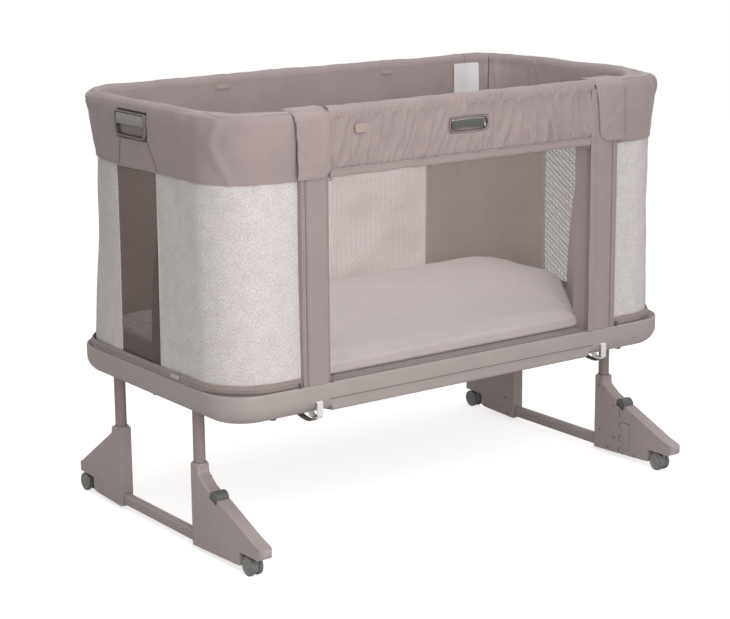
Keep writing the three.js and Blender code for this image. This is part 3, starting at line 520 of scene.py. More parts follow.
# %% Knitted net
def net(name, color, pitch_mm, openness, drift, row_mm=7.5):
    f = Finish(name, 0.75, 0.1)
    waves = [f.ribs(pitch_mm * math.sqrt(3) / 2, "X", turn) for turn in (0, 60, 120)]
    total = f.calc("ADD", f.calc("ADD", waves[0], waves[1]), waves[2])
    x, y = np.meshgrid(np.linspace(0, 40, 400), np.linspace(0, 40, 400))
    heights = sum(0.5 - 0.5 * np.cos(x * math.cos(t) + y * math.sin(t)) for t in np.radians((0, 60, 120)))
    limit = float(np.quantile(heights, openness))
    rows = f.calc("MULTIPLY", f.ribs(row_mm, "X", 58), drift)
    hole = f.calc("LESS_THAN", f.calc("ADD", total, rows), limit + drift / 2)
    f.color(f.shades(f.grain(1.2, 2, 0.6), color, 0.88, 1.08))
    f.put(f.shader, Alpha=f.calc("SUBTRACT", 1.0, hole))
    f.bump(total, 0.3, 0.5)
    print(f"{name}: {100 * openness:.0f}% open, threshold {limit:.2f}")
    return f.material


side_nets = {"left": net("taupe window net", from_screen(100, 85, 79), 3.2, 0.28, 0.3),
             "right": net("stretched window net", from_screen(104, 87, 80), 3.2, 0.28, 0.6, 10)}
back_net = net("back window net", from_screen(236, 221, 218), 4.0, 0.17, 0.10)
front_net = net("sheer front net", from_screen(186, 174, 170), 3.4, 0.80, 0.05)


# %% Mattress cover: a fine plain weave with a soft nap
def mattress_finish(name, color):
    f = Finish(name, 0.85, 0.25, "Object")
    specks = f.grain(2.4, 3, 0.7)
    weave = f.calc("MULTIPLY", f.ribs(1.0, "X"), f.ribs(1.0, "Y"))
    base = f.shades(f.grain(120, 3, 0.5), color, 0.97, 1.03)
    f.color(f.tinted(base, f.ramp(specks, (0.36, (0.90, 0.90, 0.91)), (0.62, WHITE))))
    soft = f.bump(f.grain(30, 3, 0.5), 0.8, 0.3)
    f.bump(f.calc("ADD", weave, specks), 0.15, 0.5, soft)
    return f.material


mattress_cover = mattress_finish("mattress cover", from_screen(214, 204, 203))


# %% [markdown]
# Moulded plastic has a fine spark-eroded grain and a slight variation of shade. The
# grain is a small bump that also breaks up the gloss, so the parts look satin, not wet.

# %% Moulded plastic
def moulded(name, color, roughness, grain_mm=0.9):
    f = Finish(name, roughness, 0.0, "Object")
    fine = f.grain(grain_mm, 2, 0.6)
    f.color(f.shades(f.grain(70, 3, 0.5), color, 0.965, 1.035))
    f.put(f.shader, Roughness=f.calc("ADD", f.calc("MULTIPLY", fine, 0.16), roughness - 0.08))
    f.bump(fine, 0.06, 0.5)
    return f.material


tray_plastic = moulded("tray plastic", from_screen(169, 160, 157), 0.45)
leg_plastic = moulded("leg plastic", from_screen(173, 161, 159), 0.42)
handle_plastic = moulded("handle plastic", from_screen(182, 178, 174), 0.38)
frame_plastic = moulded("grip frame plastic", from_screen(120, 112, 108), 0.42)
pull_plastic = moulded("pull plate plastic", from_screen(154, 149, 145), 0.4)
dark_plastic = moulded("dark plastic", from_screen(102, 101, 100), 0.42)
latch_plastic = moulded("latch frame plastic", from_screen(146, 133, 130), 0.5)
lever_plastic = moulded("latch lever plastic", from_screen(86, 89, 87), 0.42)
# Dark plastic for the insides of the grip and latch cups and the screw recesses: painted shade of the hollows
recess_shade_plastic = moulded("plastic darkened as painted recess shade", from_screen(80, 76, 73), 0.55)
hook_plastic = moulded("hook plastic", from_screen(226, 223, 219), 0.4)
wheel_plastic = moulded("wheel plastic", from_screen(136, 137, 136), 0.4)
tyre_plastic = moulded("tyre plastic", from_screen(122, 122, 120), 0.55)
label_rubber = moulded("blank label", from_screen(168, 153, 143), 0.6, 0.5)


# %% Powder-coated tube and plain board
def coated_metal(name, color):
    f = Finish(name, 0.36, 0.0, "Object")
    specks = f.grain(0.8, 2, 0.6)
    f.color(f.shades(f.grain(50, 2, 0.5, (1, 1, 0.3)), color, 0.96, 1.04))
    f.put(f.shader, Metallic=0.15, Roughness=f.calc("ADD", f.calc("MULTIPLY", specks, 0.2), 0.26))
    f.bump(specks, 0.05, 0.4)
    return f.material


def board_finish(name, color):
    f = Finish(name, 0.7, 0.0, "Object")
    fibre = f.grain(12, 4, 0.6, (0.15, 1, 1))
    f.color(f.shades(fibre, color, 0.86, 1.08))
    f.bump(fibre, 0.15, 0.4)
    return f.material


tube_coat = coated_metal("powder-coated tube", from_screen(154, 141, 139))
board_panel = board_finish("bed board", from_screen(138, 129, 126))
print("finishes:", len(bpy.data.materials))

# %% [markdown]
# ## The line of the top rail
# Bands, walls, windows and the strip at the foot all follow one line in plan: the top
# rail with its rounded corners. A point on it is given by its run in millimetres,
# counted from where the front corner starts to bend, round the end, to the back.

# %% Points and outward directions along the rail line
BEND = CORNER * math.pi / 2
END_START = BEND
END_STOP = BEND + (RAIL_BACK - RAIL_FRONT - 2 * CORNER)
BACK_START = END_STOP + BEND


def run_of_end(y):
    return END_START + (y - (RAIL_FRONT + CORNER))


def run_of_back(x):
    return BACK_START + (x + RAIL_X - CORNER)


def run_of_front(x):
    return -(x + RAIL_X - CORNER)


def plan(run):
    """(x, y, outward x, outward y) on the left end's rail line."""
    run = np.asarray(run, float)
    near = np.clip(run / CORNER, 0, math.pi / 2)
    far = np.clip((run - END_STOP) / CORNER, 0, math.pi / 2)
    turn = near + far
    out_x, out_y = -np.sin(turn), -np.cos(turn)
    centre_y = np.where(run < (END_START + END_STOP) / 2, RAIL_FRONT + CORNER, RAIL_BACK - CORNER)
    x = -RAIL_X + CORNER + CORNER * out_x + np.maximum(-run, 0) + np.maximum(run - BACK_START, 0)
    y = np.where((run > END_START) & (run < END_STOP), RAIL_FRONT + CORNER + run - END_START, centre_y + CORNER * out_y)
    return x, y, out_x, out_y


def carried(runs, section_at):
    """Rings of (x, y, z) from sections of (outward, z) points along the rail line."""
    x, y, out_x, out_y = plan(runs)
    rings = []
    for i, run in enumerate(runs):
        out, z = section_at(run).T
        rings.append(np.stack([x[i] + out_x[i] * out, y[i] + out_y[i] * out, z], axis=1))
    return np.array(rings)


def spread(runs, rings):
    """Each point's run and height, and the place of each column in the section."""
    z = rings[:, :, 2]
    return np.broadcast_to(runs[:, None], z.shape), z, np.arange(rings.shape[1])


def pushed_out(runs, rings, out):
    """Move points outwards in plan, each by its own distance."""
    out_x, out_y = plan(runs)[2:]
    rings[:, :, 0] += out_x[:, None] * out
    rings[:, :, 1] += out_y[:, None] * out
    return rings


print("run of the left end:", round(END_START), "to", round(END_STOP), "and the back from", round(BACK_START))

# %% [markdown]
# ## Padded bands over the rail
# The band is a cloth tube over foam and the rail: it swells outwards below the crest and falls a little inwards to its
# hem. Over the front corners it widens into a small roof, because the sleeping space is cut off there by the lining.
# Foam makes it soft and full.
#
# The mesh is a loft whose section changes along the rail, then displaced along its
# own normals by soft lumps, by creases where the cloth is pulled round the corner, and
# by small gathers above the hem.

# %% Section of the band, with or without the roof
ROOF_WIDTH = 31.0
FLAP_RUN = run_of_front(-327.0)
ROOF_STOP = run_of_end(-150.0)


def rear_tuck(run, z):
    """The cloth is pulled tighter round the rear corners, most of all at the hem."""
    bend = np.clip((run - END_STOP) / (BACK_START - END_STOP), -0.6, 1.6)
    share = np.clip(1 - np.abs(bend - 0.35) / np.where(bend < 0.35, 0.95, 0.69), 0, 1)
    heights = [RIM, RIM + 170, HEM_Z, RAIL_Z - 52, RAIL_Z - 26, RAIL_Z - 8]
    return share * share * (3 - 2 * share) * np.interp(z, heights, [2, 11, 20, 17.5, 14, 8.2])


def roof_reach(run):
    share = np.clip((run - FLAP_RUN) / (ROOF_STOP - FLAP_RUN), 0, 1)
    return ROOF_WIDTH * np.sin(math.pi * share**1.35)


OUTSIDE, TOP, INSIDE, UNDER = 34, 30, 22, 16  # points in each stretch of the section


def band_section(run):
    reach = roof_reach(run)
    roof = reach / ROOF_WIDTH
    blend = min(1.0, max(0.0, (run - ROOF_STOP) / 40))  # the inside comes down behind the roof
    crest = RAIL_Z + CREST
    edge, lip = (14.6, RAIL_Z + 7 - 1.5 * roof), (-15 - reach, crest - 12)
    outside = smooth_line([(13.5, HEM_Z), (14.2, HEM_Z + 12), (16.5, HEM_Z + 34), (19.2, RAIL_Z - 52), (20, RAIL_Z - 26),
                           (18.8, RAIL_Z - 6), edge], OUTSIDE)
    top = smooth_line([edge, (9, crest - 3.5 - 4.0 * roof), (0, crest - 0.2 - 6.3 * roof),
                       (-7 - 0.5 * reach, crest - 1.8 - 6.5 * roof), (-12 - 0.9 * reach, crest - 5 - 0.5 * roof), lip], TOP)
    drop = RAIL_Z - 21 + (RAIL_Z - 91 - (RAIL_Z - 21)) * blend**2 * (3 - 2 * blend)
    inside = smooth_line([lip, (-15.4 - reach, 0.5 * (crest - 12 + drop)), (-14.6 - reach, drop)], INSIDE)
    under = smooth_line([(-11.5 - reach, drop + 1), (-11.5 - reach, crest - 12), (0, crest - 9), (11.5, RAIL_Z - 6),
                         (15, RAIL_Z - 40), (10, HEM_Z + 1)], UNDER)
    return np.concatenate([outside[:-1], top[:-1], inside, under])


# %% The front corner is pulled into two flat faces that meet in a crease
RIDGE = [(HEM_Z, 68), (RAIL_Z - 76, 84), (RAIL_Z - 40, 95), (RAIL_Z + 12, 82)]


def folded_corner(runs, z, extra):
    """How far each point moves out, so that the corner follows two chords with a ridge between them."""
    shift = np.zeros(z.shape)
    x, y, out_x, out_y = plan(runs)
    for j in range(z.shape[1]):
        level = z[:, j].mean()
        ridge_run = float(np.interp(level, [h for h, _ in RIDGE], [r for _, r in RIDGE]))
        stand = 14.0 + float(np.interp(level, [HEM_Z, RAIL_Z - 20], extra))
        least = float(np.interp(level, [HEM_Z, HEM_Z + 40], [-1.0, -3.2]))
        ends = []
        for run, out in ((-36.0, 14.0), (ridge_run, stand), (176.0, 14.0)):
            px, py, nx, ny = (float(v) for v in plan(run))
            ends.append((px + nx * out, py + ny * out))
        for a, b, low, high in ((ends[0], ends[1], -36.0, ridge_run), (ends[1], ends[2], ridge_run, 176.0)):
            here = (runs >= low) & (runs <= high)
            dx, dy = b[0] - a[0], b[1] - a[1]
            reach = ((a[0] - x) * dy - (a[1] - y) * dx) / (out_x * dy - out_y * dx)
            shift[:, j] = np.where(here, np.maximum(0.8 * (reach - 14.0), least), shift[:, j])
    even = np.arange(runs[0], runs[-1], 1.0)
    bell = np.exp(-0.5 * (np.arange(-12, 13) / 5.0) ** 2)
    bell /= bell.sum()
    for j in range(z.shape[1]):
        soft = np.convolve(np.pad(np.interp(even, runs, shift[:, j]), 12, mode="edge"), bell, "valid")
        shift[:, j] = np.interp(runs, even, soft)
    return shift


# %% Where the end grip sits, the cloth is pressed back behind it
GRIP_Y, GRIP_HALF = 20.0, 56.5
bezel_low, bezel_high = bed_box("end_bezel_left")
GRIP_LOW, GRIP_TOP = float(bezel_low[2]), float(bezel_high[2])


def step_between(value, low, high, edge):
    rise = np.clip((value - low) / edge + 0.5, 0, 1)
    fall = np.clip((high - value) / edge + 0.5, 0, 1)
    return rise * fall


def grip_pocket(runs, rings):
    middle = run_of_end(GRIP_Y)
    along = step_between(runs, middle - GRIP_HALF, middle + GRIP_HALF, 1.2)[:, None]
    high = step_between(rings[:, :, 2], GRIP_LOW, GRIP_TOP, 1.2)
    return along * high


def spread_runs(start, stop, step, *dense):
    """Even runs from start to stop, closer together in each dense (low, high, step) stretch."""
    runs = [np.arange(start, stop, step), [stop], *(np.arange(*stretch) for stretch in dense)]
    runs = np.unique(np.round(np.concatenate(runs), 2))
    return runs[np.concatenate([[True], np.diff(runs) > 0.25])]


# %% End bands
PULL_CREASES = (((30, 846), (74, 800), 7, 1.3), ((64, 842), (120, 790), 9, 1.1), ((-30, 800), (34, 742), 12, 0.9),
                ((150, 842), (196, 812), 8, 0.7), ((330, 770), (392, 730), 6, -0.7), ((470, 842), (530, 788), 9, 1.0))
INNER_FOLDS = ((END_START + 60, 0.1), (END_START + 110, -0.5), (END_STOP - 100, 0.6), (END_STOP - 70, 0.1),
               (END_STOP - 30, -0.4), (END_STOP + 12, 0.12), (END_STOP + 47, 0.2), (END_STOP + 78, 0.1), (END_STOP + 104, 0.12))


def make_end_band(label, side):
    seed = 11 if side < 0 else 29
    grip_ends = [(edge - 2, edge + 2, 0.5) for edge in (run_of_end(GRIP_Y) - GRIP_HALF, run_of_end(GRIP_Y) + GRIP_HALF)]
    first = run_of_front(-395.0 if side < 0 else -399.5)
    runs = spread_runs(first, run_of_back(-446.7), 4.0, (40, 130, 2.0), *grip_ends)
    rings = carried(runs, band_section)
    u, z, j = spread(runs, rings)
    if side > 0:  # the right band is cut a little deeper next to its flap
        z -= np.interp(u, [0, 110, 250], [5, 3, 0]) * np.clip(1 - (z - HEM_Z) / 45, 0, 1)
    shows = np.where(j < OUTSIDE + TOP + INSIDE - 2, 1.0, 0.0)[None, :]
    on_outside = (j < OUTSIDE + TOP // 2)[None, :]
    height = (z - HEM_Z) / (RAIL_Z + CREST - HEM_Z)
    depth = lumps(u, z, seed, 150, 0.9) + lumps(u, z, seed + 1, 46, 0.35)
    depth *= np.clip((runs[-1] - u) / 40, 0, 1)  # both bands are even where they are sewn together
    lower = z[:, :OUTSIDE + 6]
    corner_shift = folded_corner(runs, lower, (3.5, 3.5) if side < 0 else (0.5, 10.5))
    corner_shift = corner_shift * np.clip((RAIL_Z + 14 - lower) / 10, 0, 1)
    # gathers above the hem, between the grip and the corner
    dice = np.random.default_rng(seed + 5)
    for _ in range(34):
        at, wide = dice.uniform(-50, END_STOP + 60), dice.uniform(2.2, 4.5)
        tall, lean = dice.uniform(0.18, 0.5), dice.uniform(-0.5, 0.5)
        fold = dice.uniform(-0.9, 0.8) * bump_at(u, at + lean * (z - HEM_Z), wide)
        depth += np.where(on_outside, fold * np.clip(1 - height / tall, 0, 1), 0)
    for line in PULL_CREASES:
        depth += np.where(on_outside, crease(u, z, *line), 0)
    depth = np.where(on_outside & (z < HEM_Z + 24), np.maximum(depth, -0.3), depth)  # the hem itself runs smooth
    # the inner face is taut, with a few upright folds near the back corner
    inner = (j > OUTSIDE + TOP - 8)[None, :] & (j < OUTSIDE + TOP + INSIDE)[None, :]
    for at, lean in INNER_FOLDS:
        depth += np.where(inner, (1.5 if side > 0 else 0.8) * bump_at(u - at, lean * (z - 800), 5), 0)
    rings = rings + normals_of(rings) * (depth * shows)[:, :, None]
    push = -26.0 * grip_pocket(runs, rings) * (j < OUTSIDE + 4)[None, :] - rear_tuck(u, z)
    push[:, :OUTSIDE + 6] += corner_shift
    rings = mirrored(pushed_out(runs, rings, push), side)
    padded_piece(f"end_band_{label}_cover", rings, taupe_cloth, 0.35, f"end_band_{label}")
    return rings, runs


end_bands = {label: make_end_band(label, side) for label, side in ENDS}
print("end band points:", end_bands["left"][0].shape)


# %% Back band, one long padded tube with faint folds on its inner face
def make_back_band():
    runs = np.arange(run_of_back(-446.4), run_of_back(446.4) + 0.1, 4.6)
    rings = carried(runs, lambda run: band_section(9999.0))
    u, z, j = spread(runs, rings)
    shows = np.where(j < OUTSIDE + TOP + INSIDE - 2, 1.0, 0.0)[None, :]
    depth = lumps(u, z, 71, 170, 0.8) + lumps(u, z, 72, 52, 0.3)
    depth = depth * np.clip(np.minimum(u - runs[0], runs[-1] - u) / 40, 0, 1)
    dice = np.random.default_rng(73)
    for _ in range(26):
        at, wide = dice.uniform(runs[0], runs[-1]), dice.uniform(3, 8)
        depth += dice.uniform(-0.5, 0.5) * bump_at(u - at, dice.uniform(-0.3, 0.3) * (z - 790), wide)
    for end in (runs[0], runs[-1]):  # the band is tucked in where it is sewn to the end bands
        depth -= 0.4 * bump_at(u, end, 5)
    rings = rings + normals_of(rings) * (depth * shows)[:, :, None]
    padded_piece("back_band_cover", rings, taupe_cloth, 0.35, "back_band")


make_back_band()

# %% [markdown]
# ## Flaps over the front posts
# Each end band ends in a flap that wraps over the top of its post and hangs in front
# of it, with a rounded free corner. It is a folded pad of cloth with thin foam, so it
# is lofted as a closed, slightly puffed sheet.

# %% Flaps
def make_flap(label, side):
    if side < 0:
        corner, foot, seed = 17.0, HEM_Z + 0.5, 41
        lower = 1.5  # how much flatter the flap lies over the rail
        outer_edge, inner_cut = (-396.5, -397.5, -401), (0, 0, 0)
    else:  # the right flap is cut on a curve
        corner, foot, seed = 27.0, HEM_Z + 3, 47
        lower = 0.0
        outer_edge, inner_cut = (-407.5, -407.5, -407.5), (14, 11, 1)
    path = smooth_line([(-300.0, foot), (-300.9, HEM_Z + 12), (-301.4, HEM_Z + 50), (-301.6, RAIL_Z - 22), (-299.8, RAIL_Z - 2 - lower),
                        (-295.5, RAIL_Z + 7 - lower), (-286, RAIL_Z + 11.6 - lower), (-272, RAIL_Z + 13.6 - lower),
                        (-256, RAIL_Z + 13 - lower), (-246.5, RAIL_Z + 8.5), (-241.5, RAIL_Z - 1), (-240.3, RAIL_Z - 12),
                        (-240.2, RAIL_Z - 21)], 84)
    tangent = np.gradient(path, axis=0)
    tangent /= np.linalg.norm(tangent, axis=1, keepdims=True)
    outward = np.stack([-tangent[:, 1], tangent[:, 0]], axis=1)
    if outward[10, 0] > 0:
        outward = -outward
    run = np.concatenate([[0], np.cumsum(np.linalg.norm(np.diff(path, axis=0), axis=1))])
    across = np.linspace(0, 1, 40)
    rows = []
    for (y, z), out, s in zip(path, outward, run):
        trim = corner - math.sqrt(max(0.0, corner**2 - max(0.0, corner - s) ** 2)) if s < corner else 0.0
        right = -326.6 - float(np.interp(s, [0, 60, 128], inner_cut)) - trim
        left = float(np.interp(s, [0, 60, 128], outer_edge))
        x = left + (right - left) * across
        down = np.full_like(x, s)
        edge = np.minimum(x - left, right - x)
        height = 2.2 * (1 - np.exp(-edge / 2.2)) * min(1.0, 0.25 + s / 4)
        height = height + lumps(x, down, seed, 60, 0.5) + lumps(x, down, seed + 1, 22, 0.15)
        height += crease(x, down, (-400, 70), (-345, 22), 6, 1.2) + crease(x, down, (-352, 12), (-331, 62), 5, 0.9)
        height += crease(x, down, (-402, 18), (-380, 8), 3, -0.8)
        height -= 1.1 * bump_at(edge, 5.0, 1.1) * (s < 128)  # the sewn-down edge
        height -= 2.5 * np.exp(-(x - left) / 6) * min(1.0, s / 40)  # its outer side lies down on the band
        top, low = (np.stack([x, y + out[0] * h, z + out[1] * h], axis=1) for h in (height, np.full_like(x, -1.6)))
        rows.append(np.concatenate([top, low[::-1]]))
    rows = mirrored(np.array(rows), side)
    padded_piece(f"flap_{label}", rows, lit_taupe_cloth, 0.3, sharp_deg=70)
    return rows[:, :40]


flaps = {label: make_flap(label, side) for label, side in ENDS}


# %% [markdown]
# ## Side panels and windows
# The panels are cloth over thin foam, a little waisted between the band and the tray. They are melange outside and
# plain taupe inside. The windows between them are single layers of net, stretched on the same line, so they are lofted
# as open sheets.

# %% Wall section, melange outside and taupe inside
WALL_FOOT, WALL_TOP = RIM + 0.3, RAIL_Z - 78
SHARES, OFFSETS = (0, 0.2, 0.42, 0.56, 0.76, 1), (13, 11, 9.3, 8.7, 9.2, 10.5)
wall_line = smooth_line(np.stack([OFFSETS, np.array(SHARES) * 100], axis=1), 60)


def wall_out(z):
    return np.interp((z - WALL_FOOT) / (WALL_TOP - WALL_FOOT) * 100, wall_line[:, 1], wall_line[:, 0])


def wall_section(inset_out=0.0, thickness=5.0, rows=44):
    z = np.linspace(WALL_FOOT, WALL_TOP, rows)
    out = wall_out(z)
    outer = np.stack([out - inset_out, z], axis=1)
    inner = np.stack([out - inset_out - thickness, z], axis=1)[::-1]
    return np.concatenate([outer, inner])


def end_flat(run):
    """1 on the flat of the end, where the cloth is stretched over the window frame."""
    return np.clip(np.minimum(run - END_START + 30, END_STOP + 10 - run) / 40, 0, 1)


def pulled(runs, rings):
    """Walls and windows stand further out on the flat end and are tucked in at the rear corners."""
    z = rings[:, :, 2]
    level = np.clip((z - WALL_FOOT) / (WALL_TOP - WALL_FOOT), 0, 1)
    out = end_flat(runs)[:, None] * 2.0 * np.sin(math.pi * level) - rear_tuck(runs[:, None], z)
    return pushed_out(runs, rings, out)


def make_wall(name, runs, side, seed, replaced):
    section = wall_section()
    rings = pulled(runs, carried(runs, lambda run: section))
    u, z, j = spread(runs, rings)
    edge = np.minimum(u - runs[0], runs[-1] - u)
    depth = lumps(u, z, seed, 130, 0.7) + lumps(u, z, seed + 1, 40, 0.2)
    depth += 0.8 * (1 - np.exp(-edge / 6)) - 0.8
    low = (z - WALL_FOOT) / 22
    depth -= 1.2 * np.exp(-low * low)
    depth += 0.5 * bump_at(low, 1.2, 1) * np.sin(u / 6.0 + 1.3 * np.sin(u / 31))
    depth = np.where(j[None, :] < 44, depth, -0.4 * depth)
    rings = rings + normals_of(rings) * (depth * np.clip(edge / 3, 0, 1))[:, :, None]
    strips = np.where((j >= 44) & (j < 87), 1, 0)
    cloths = [melange_cloth, lining_cloth]
    padded_piece(name, mirrored(rings, side), cloths, 0.2, replaced, slot="melange_fabric", strips=strips)


WINDOW_FRONT, WINDOW_BACK, BACK_WINDOW = -49.0, 101.0, 351.0
for label, side in ENDS:
    front = spread_runs(run_of_front(-389.3 if side < 0 else -393.3), run_of_end(WINDOW_FRONT - 0.3), 5.0)
    make_wall(f"front_panel_{label}", front, side, 81 if side < 0 else 85, f"wall_front_{label}")
    back = spread_runs(run_of_end(WINDOW_BACK + 0.3), run_of_back(-BACK_WINDOW - 0.3), 5.0)
    make_wall(f"back_panel_{label}", back, side, 91 if side < 0 else 95, f"wall_back_{label}")


# %% Net windows at the ends and the back
def make_window(name, runs, side, material, replaced, seed):
    section = wall_section(2.0, 0.8, 40)
    rings = pulled(runs, carried(runs, lambda run: section)[:, :40])
    u, z, _ = spread(runs, rings)
    edge = np.minimum(u - runs[0], runs[-1] - u)
    rings = pushed_out(runs, rings, lumps(u, z, seed, 150, 0.5) * np.clip(edge / 30, 0, 1))
    window = loft(name, mirrored(rings, side), [material], closed=False)
    attach(window, "crib", "mesh_fabric", replaced)


end_runs = spread_runs(run_of_end(WINDOW_FRONT), run_of_end(WINDOW_BACK), 6.0)
for label, side in ENDS:
    make_window(f"end_window_{label}", end_runs, side, side_nets[label], f"end_mesh_{label}", 101)
back_runs = spread_runs(run_of_back(-BACK_WINDOW), run_of_back(BACK_WINDOW), 9.0)
make_window("back_window", back_runs, -1, back_net, "back_mesh", 103)


# %% Padded strip that hides the joint between the walls and the tray
def make_skirt():
    half = [run_of_front(-393.3)] + list(np.arange(run_of_front(-390), run_of_back(0.0), 6.0))
    outline = [(13.4, 0.5), (17.6, 0.4), (19.0, 3.0), (18.6, 8.0), (16.6, 13.0), (14.6, 16.0), (13.6, 15.6), (13.3, 10)]
    section = smooth_line([(out, RIM + up) for out, up in outline], 26, closed=True)
    left = carried(np.array(half), lambda run: section)
    rings = np.concatenate([left, mirrored(left, 1)[::-1]])
    u, z, _ = spread(np.arange(len(rings)) * 6.0, rings)
    depth = 0.25 * np.sin(u / 7 + 2 * np.sin(u / 53)) + lumps(u, z, 111, 60, 0.3)
    padded_piece("skirt_strip_cloth", rings + normals_of(rings) * depth[:, :, None], skirt_cloth, 0.3, "skirt_strip")


make_skirt()


# %% [markdown]
# ## Inner lining of the front corners
# Behind each front post a plain lining runs from the post to the end wall and closes
# off the corner under the roof. It is one taut sheet, ruled between a straight line at
# the tray and the curved inner edge of the roof.

# %% Corner linings
def make_lining(label, side):
    runs = np.linspace(run_of_front(-404), run_of_end(-112), 46)
    x, y, out_x, out_y = plan(runs)
    back_in = 7.0 + roof_reach(runs)
    back_in = np.where(runs > ROOF_STOP, 7.0, back_in)
    top_z = np.interp(runs, [runs[0], ROOF_STOP, runs[-1]], [812, 812, 742])
    upper = np.stack([x - out_x * back_in, y - out_y * back_in, top_z], axis=1)
    start = np.array([[-351.0, -237.0, 812.0], [-380.0, -237.0, 812.0]])
    upper = np.concatenate([start, upper])
    share = np.concatenate([[0], np.cumsum(np.linalg.norm(np.diff(upper[:, :2], axis=0), axis=1))])
    share /= share[-1]
    lower = np.stack([-351 - 183 * share, -237.4 + 245.4 * share, np.full_like(share, RIM + 0.3)], axis=1)
    v = np.linspace(0, 1, 30)
    seed = 121 if side < 0 else 127
    sheet = lower[:, None] + (upper - lower)[:, None] * np.stack([v**3, v**3, v], axis=1)[None]
    inward = np.array([245.4, 183.0, 0]) / math.hypot(245.4, 183.0)
    pull = lumps(share[:, None] * 300, v[None, :] * 470, seed, 160, 0.35) * np.sin(math.pi * v)[None, :]
    sheet = sheet + inward * pull[:, :, None]
    rings = np.concatenate([sheet, (sheet - inward * 1.6)[:, ::-1]], axis=1)
    lining = loft(f"lining_{label}", mirrored(rings, side), [lining_cloth], sharp_deg=60)
    attach(lining, "crib", "taupe_fabric", f"corner_lining_{label}")


for label, side in ENDS:
    make_lining(label, side)


# %% [markdown]
# ## Front posts
# Each post is a tube in a cloth sleeve. The sleeve's front has a full middle strip
# between two flatter ones, sewn along grooves, with faint cross wrinkles where the
# cloth was pulled down over the tube.

# %% Post sleeves
def make_post(label, side):
    outline = smooth_line([(-393, -286), (-393, -294), (-391, -297), (-386, -297.8), (-381.5, -297.6), (-379.4, -293.6), (-377.4, -296.8),
                           (-371, -298.6), (-354, -299.6), (-337, -298.6), (-332.4, -297.2), (-330.6, -294.2), (-328.8, -296.4),
                           (-327, -294), (-327, -286), (-327, -262), (-327, -244), (-329, -239.5), (-334, -238), (-360, -238),
                           (-386, -238), (-391, -239.5), (-393, -244), (-393, -262)], 176, closed=True)
    x, y = outline.T
    if side < 0:
        x = np.maximum(x, -389.0 + 0.1 * (x + 389.0))
    seed = 131 if side < 0 else 137
    dice = np.random.default_rng(seed)
    spans = ((RIM + 10, 760), (-372, -338), (1.6, 3.0), (-0.55, 0.6), (8, 22), (-0.06, 0.06))
    wrinkles = [[dice.uniform(*span) for span in spans] for _ in range(46)]
    front = y < -290
    middle = ((x > -377) & (x < -332) & front).astype(float)
    rings = []
    for height in np.linspace(RIM + 0.4, 836, 150):
        level = np.full(len(x), height)
        depth = lumps(x, level, seed, 60, 0.3)
        for at, x0, wide, tall, long, lean in wrinkles:
            aside = ((height - at - lean * (x - x0)) / wide) ** 2
            depth += middle * tall * np.exp(-aside - ((x - x0) / long) ** 2)
        rings.append(np.stack([x, y - depth * front * min(1.0, (836 - height) / 6 + 0.4), level], axis=1))
    rings = mirrored(np.array(rings), side)
    padded_piece(f"post_{label}_sleeve", rings, post_cloth, 0.25, f"post_sleeve_{label}")


for label, side in ENDS:
    make_post(label, side)

# %% [markdown]
# ## The drop side
# The cloth on the front rail is gathered: it was cut longer than the rail and sewn to
# it, so it stands in many small folds. Short ones start at the crest and at the hem
# and die out, and a few run the whole height. Most lean the same way, because the
# cloth is pulled sideways as the side is raised.

# %% Folds of the gathered cloth
DROP_HALF, _, DROP_TOP = (float(v) for v in bed_box("front_band")[1])
DROP_Y = float(bed_box("front_rail")[0][1] + bed_box("front_rail")[1][1]) / 2


def along_x(x, section):
    """One (forward, height) section of the drop side, repeated at each x."""
    ring = np.stack([0 * section[:, 0], DROP_Y - section[:, 0], section[:, 1]], axis=1)
    return ring[None] + np.asarray(x)[:, None, None] * (1, 0, 0)


def gathers(x, z, low, high, seed):
    """Depth of the folds at (x, z), between the heights low and high."""
    dice = np.random.default_rng(seed)
    total = np.zeros(np.broadcast(x, z).shape)
    span = DROP_HALF + 10

    def fold(at, foot, head, *ranges):
        nonlocal total
        lean, wide, tall, bend = (dice.uniform(*pair) if pair else 0 for pair in ranges)
        share = (z - foot) / (head - foot)
        lean = lean * float(np.interp(at, [60, 260], [1.0, -0.7]))
        tall = tall * float(np.interp(at, [60, 180], [1.0, 1.3]))
        line = at + lean * (z - foot) + bend * np.sin(np.clip(share, 0, 1) * math.pi)
        fade = np.clip(share * 4, 0, 1) * np.clip((1 - share) * 4, 0, 1)
        off = (x - line) / wide
        total += 1.85 * tall * fade * (np.exp(-off * off) - 0.45 * np.exp(-((off - 1.5) ** 2) * 2.2))

    for at in np.arange(-span, span, 7.3):  # short folds under the crest
        long = dice.uniform(10, 34)
        fold(at + dice.uniform(-3, 3), high - long, high + 14, (0.05, 0.35), (2.3, 4.0), (0.8, 2.0), None)
    for at in np.arange(-span, span, 10.5):  # folds rising from the hem
        long = dice.uniform(18, 62)
        fold(at + dice.uniform(-4, 4), low - 14, low + long, (0.15, 0.55), (3.2, 6.0), (1.0, 2.9), (-3, 3))
    for at in np.arange(-span, span, 27):  # long folds
        foot = low + dice.uniform(-10, 40)
        at += dice.uniform(-10, 10)
        fold(at, foot, min(high, foot + dice.uniform(50, 100)), (0.1, 0.5), (5.0, 10.0), (1.4, 3.4), (-6, 6))
    return total


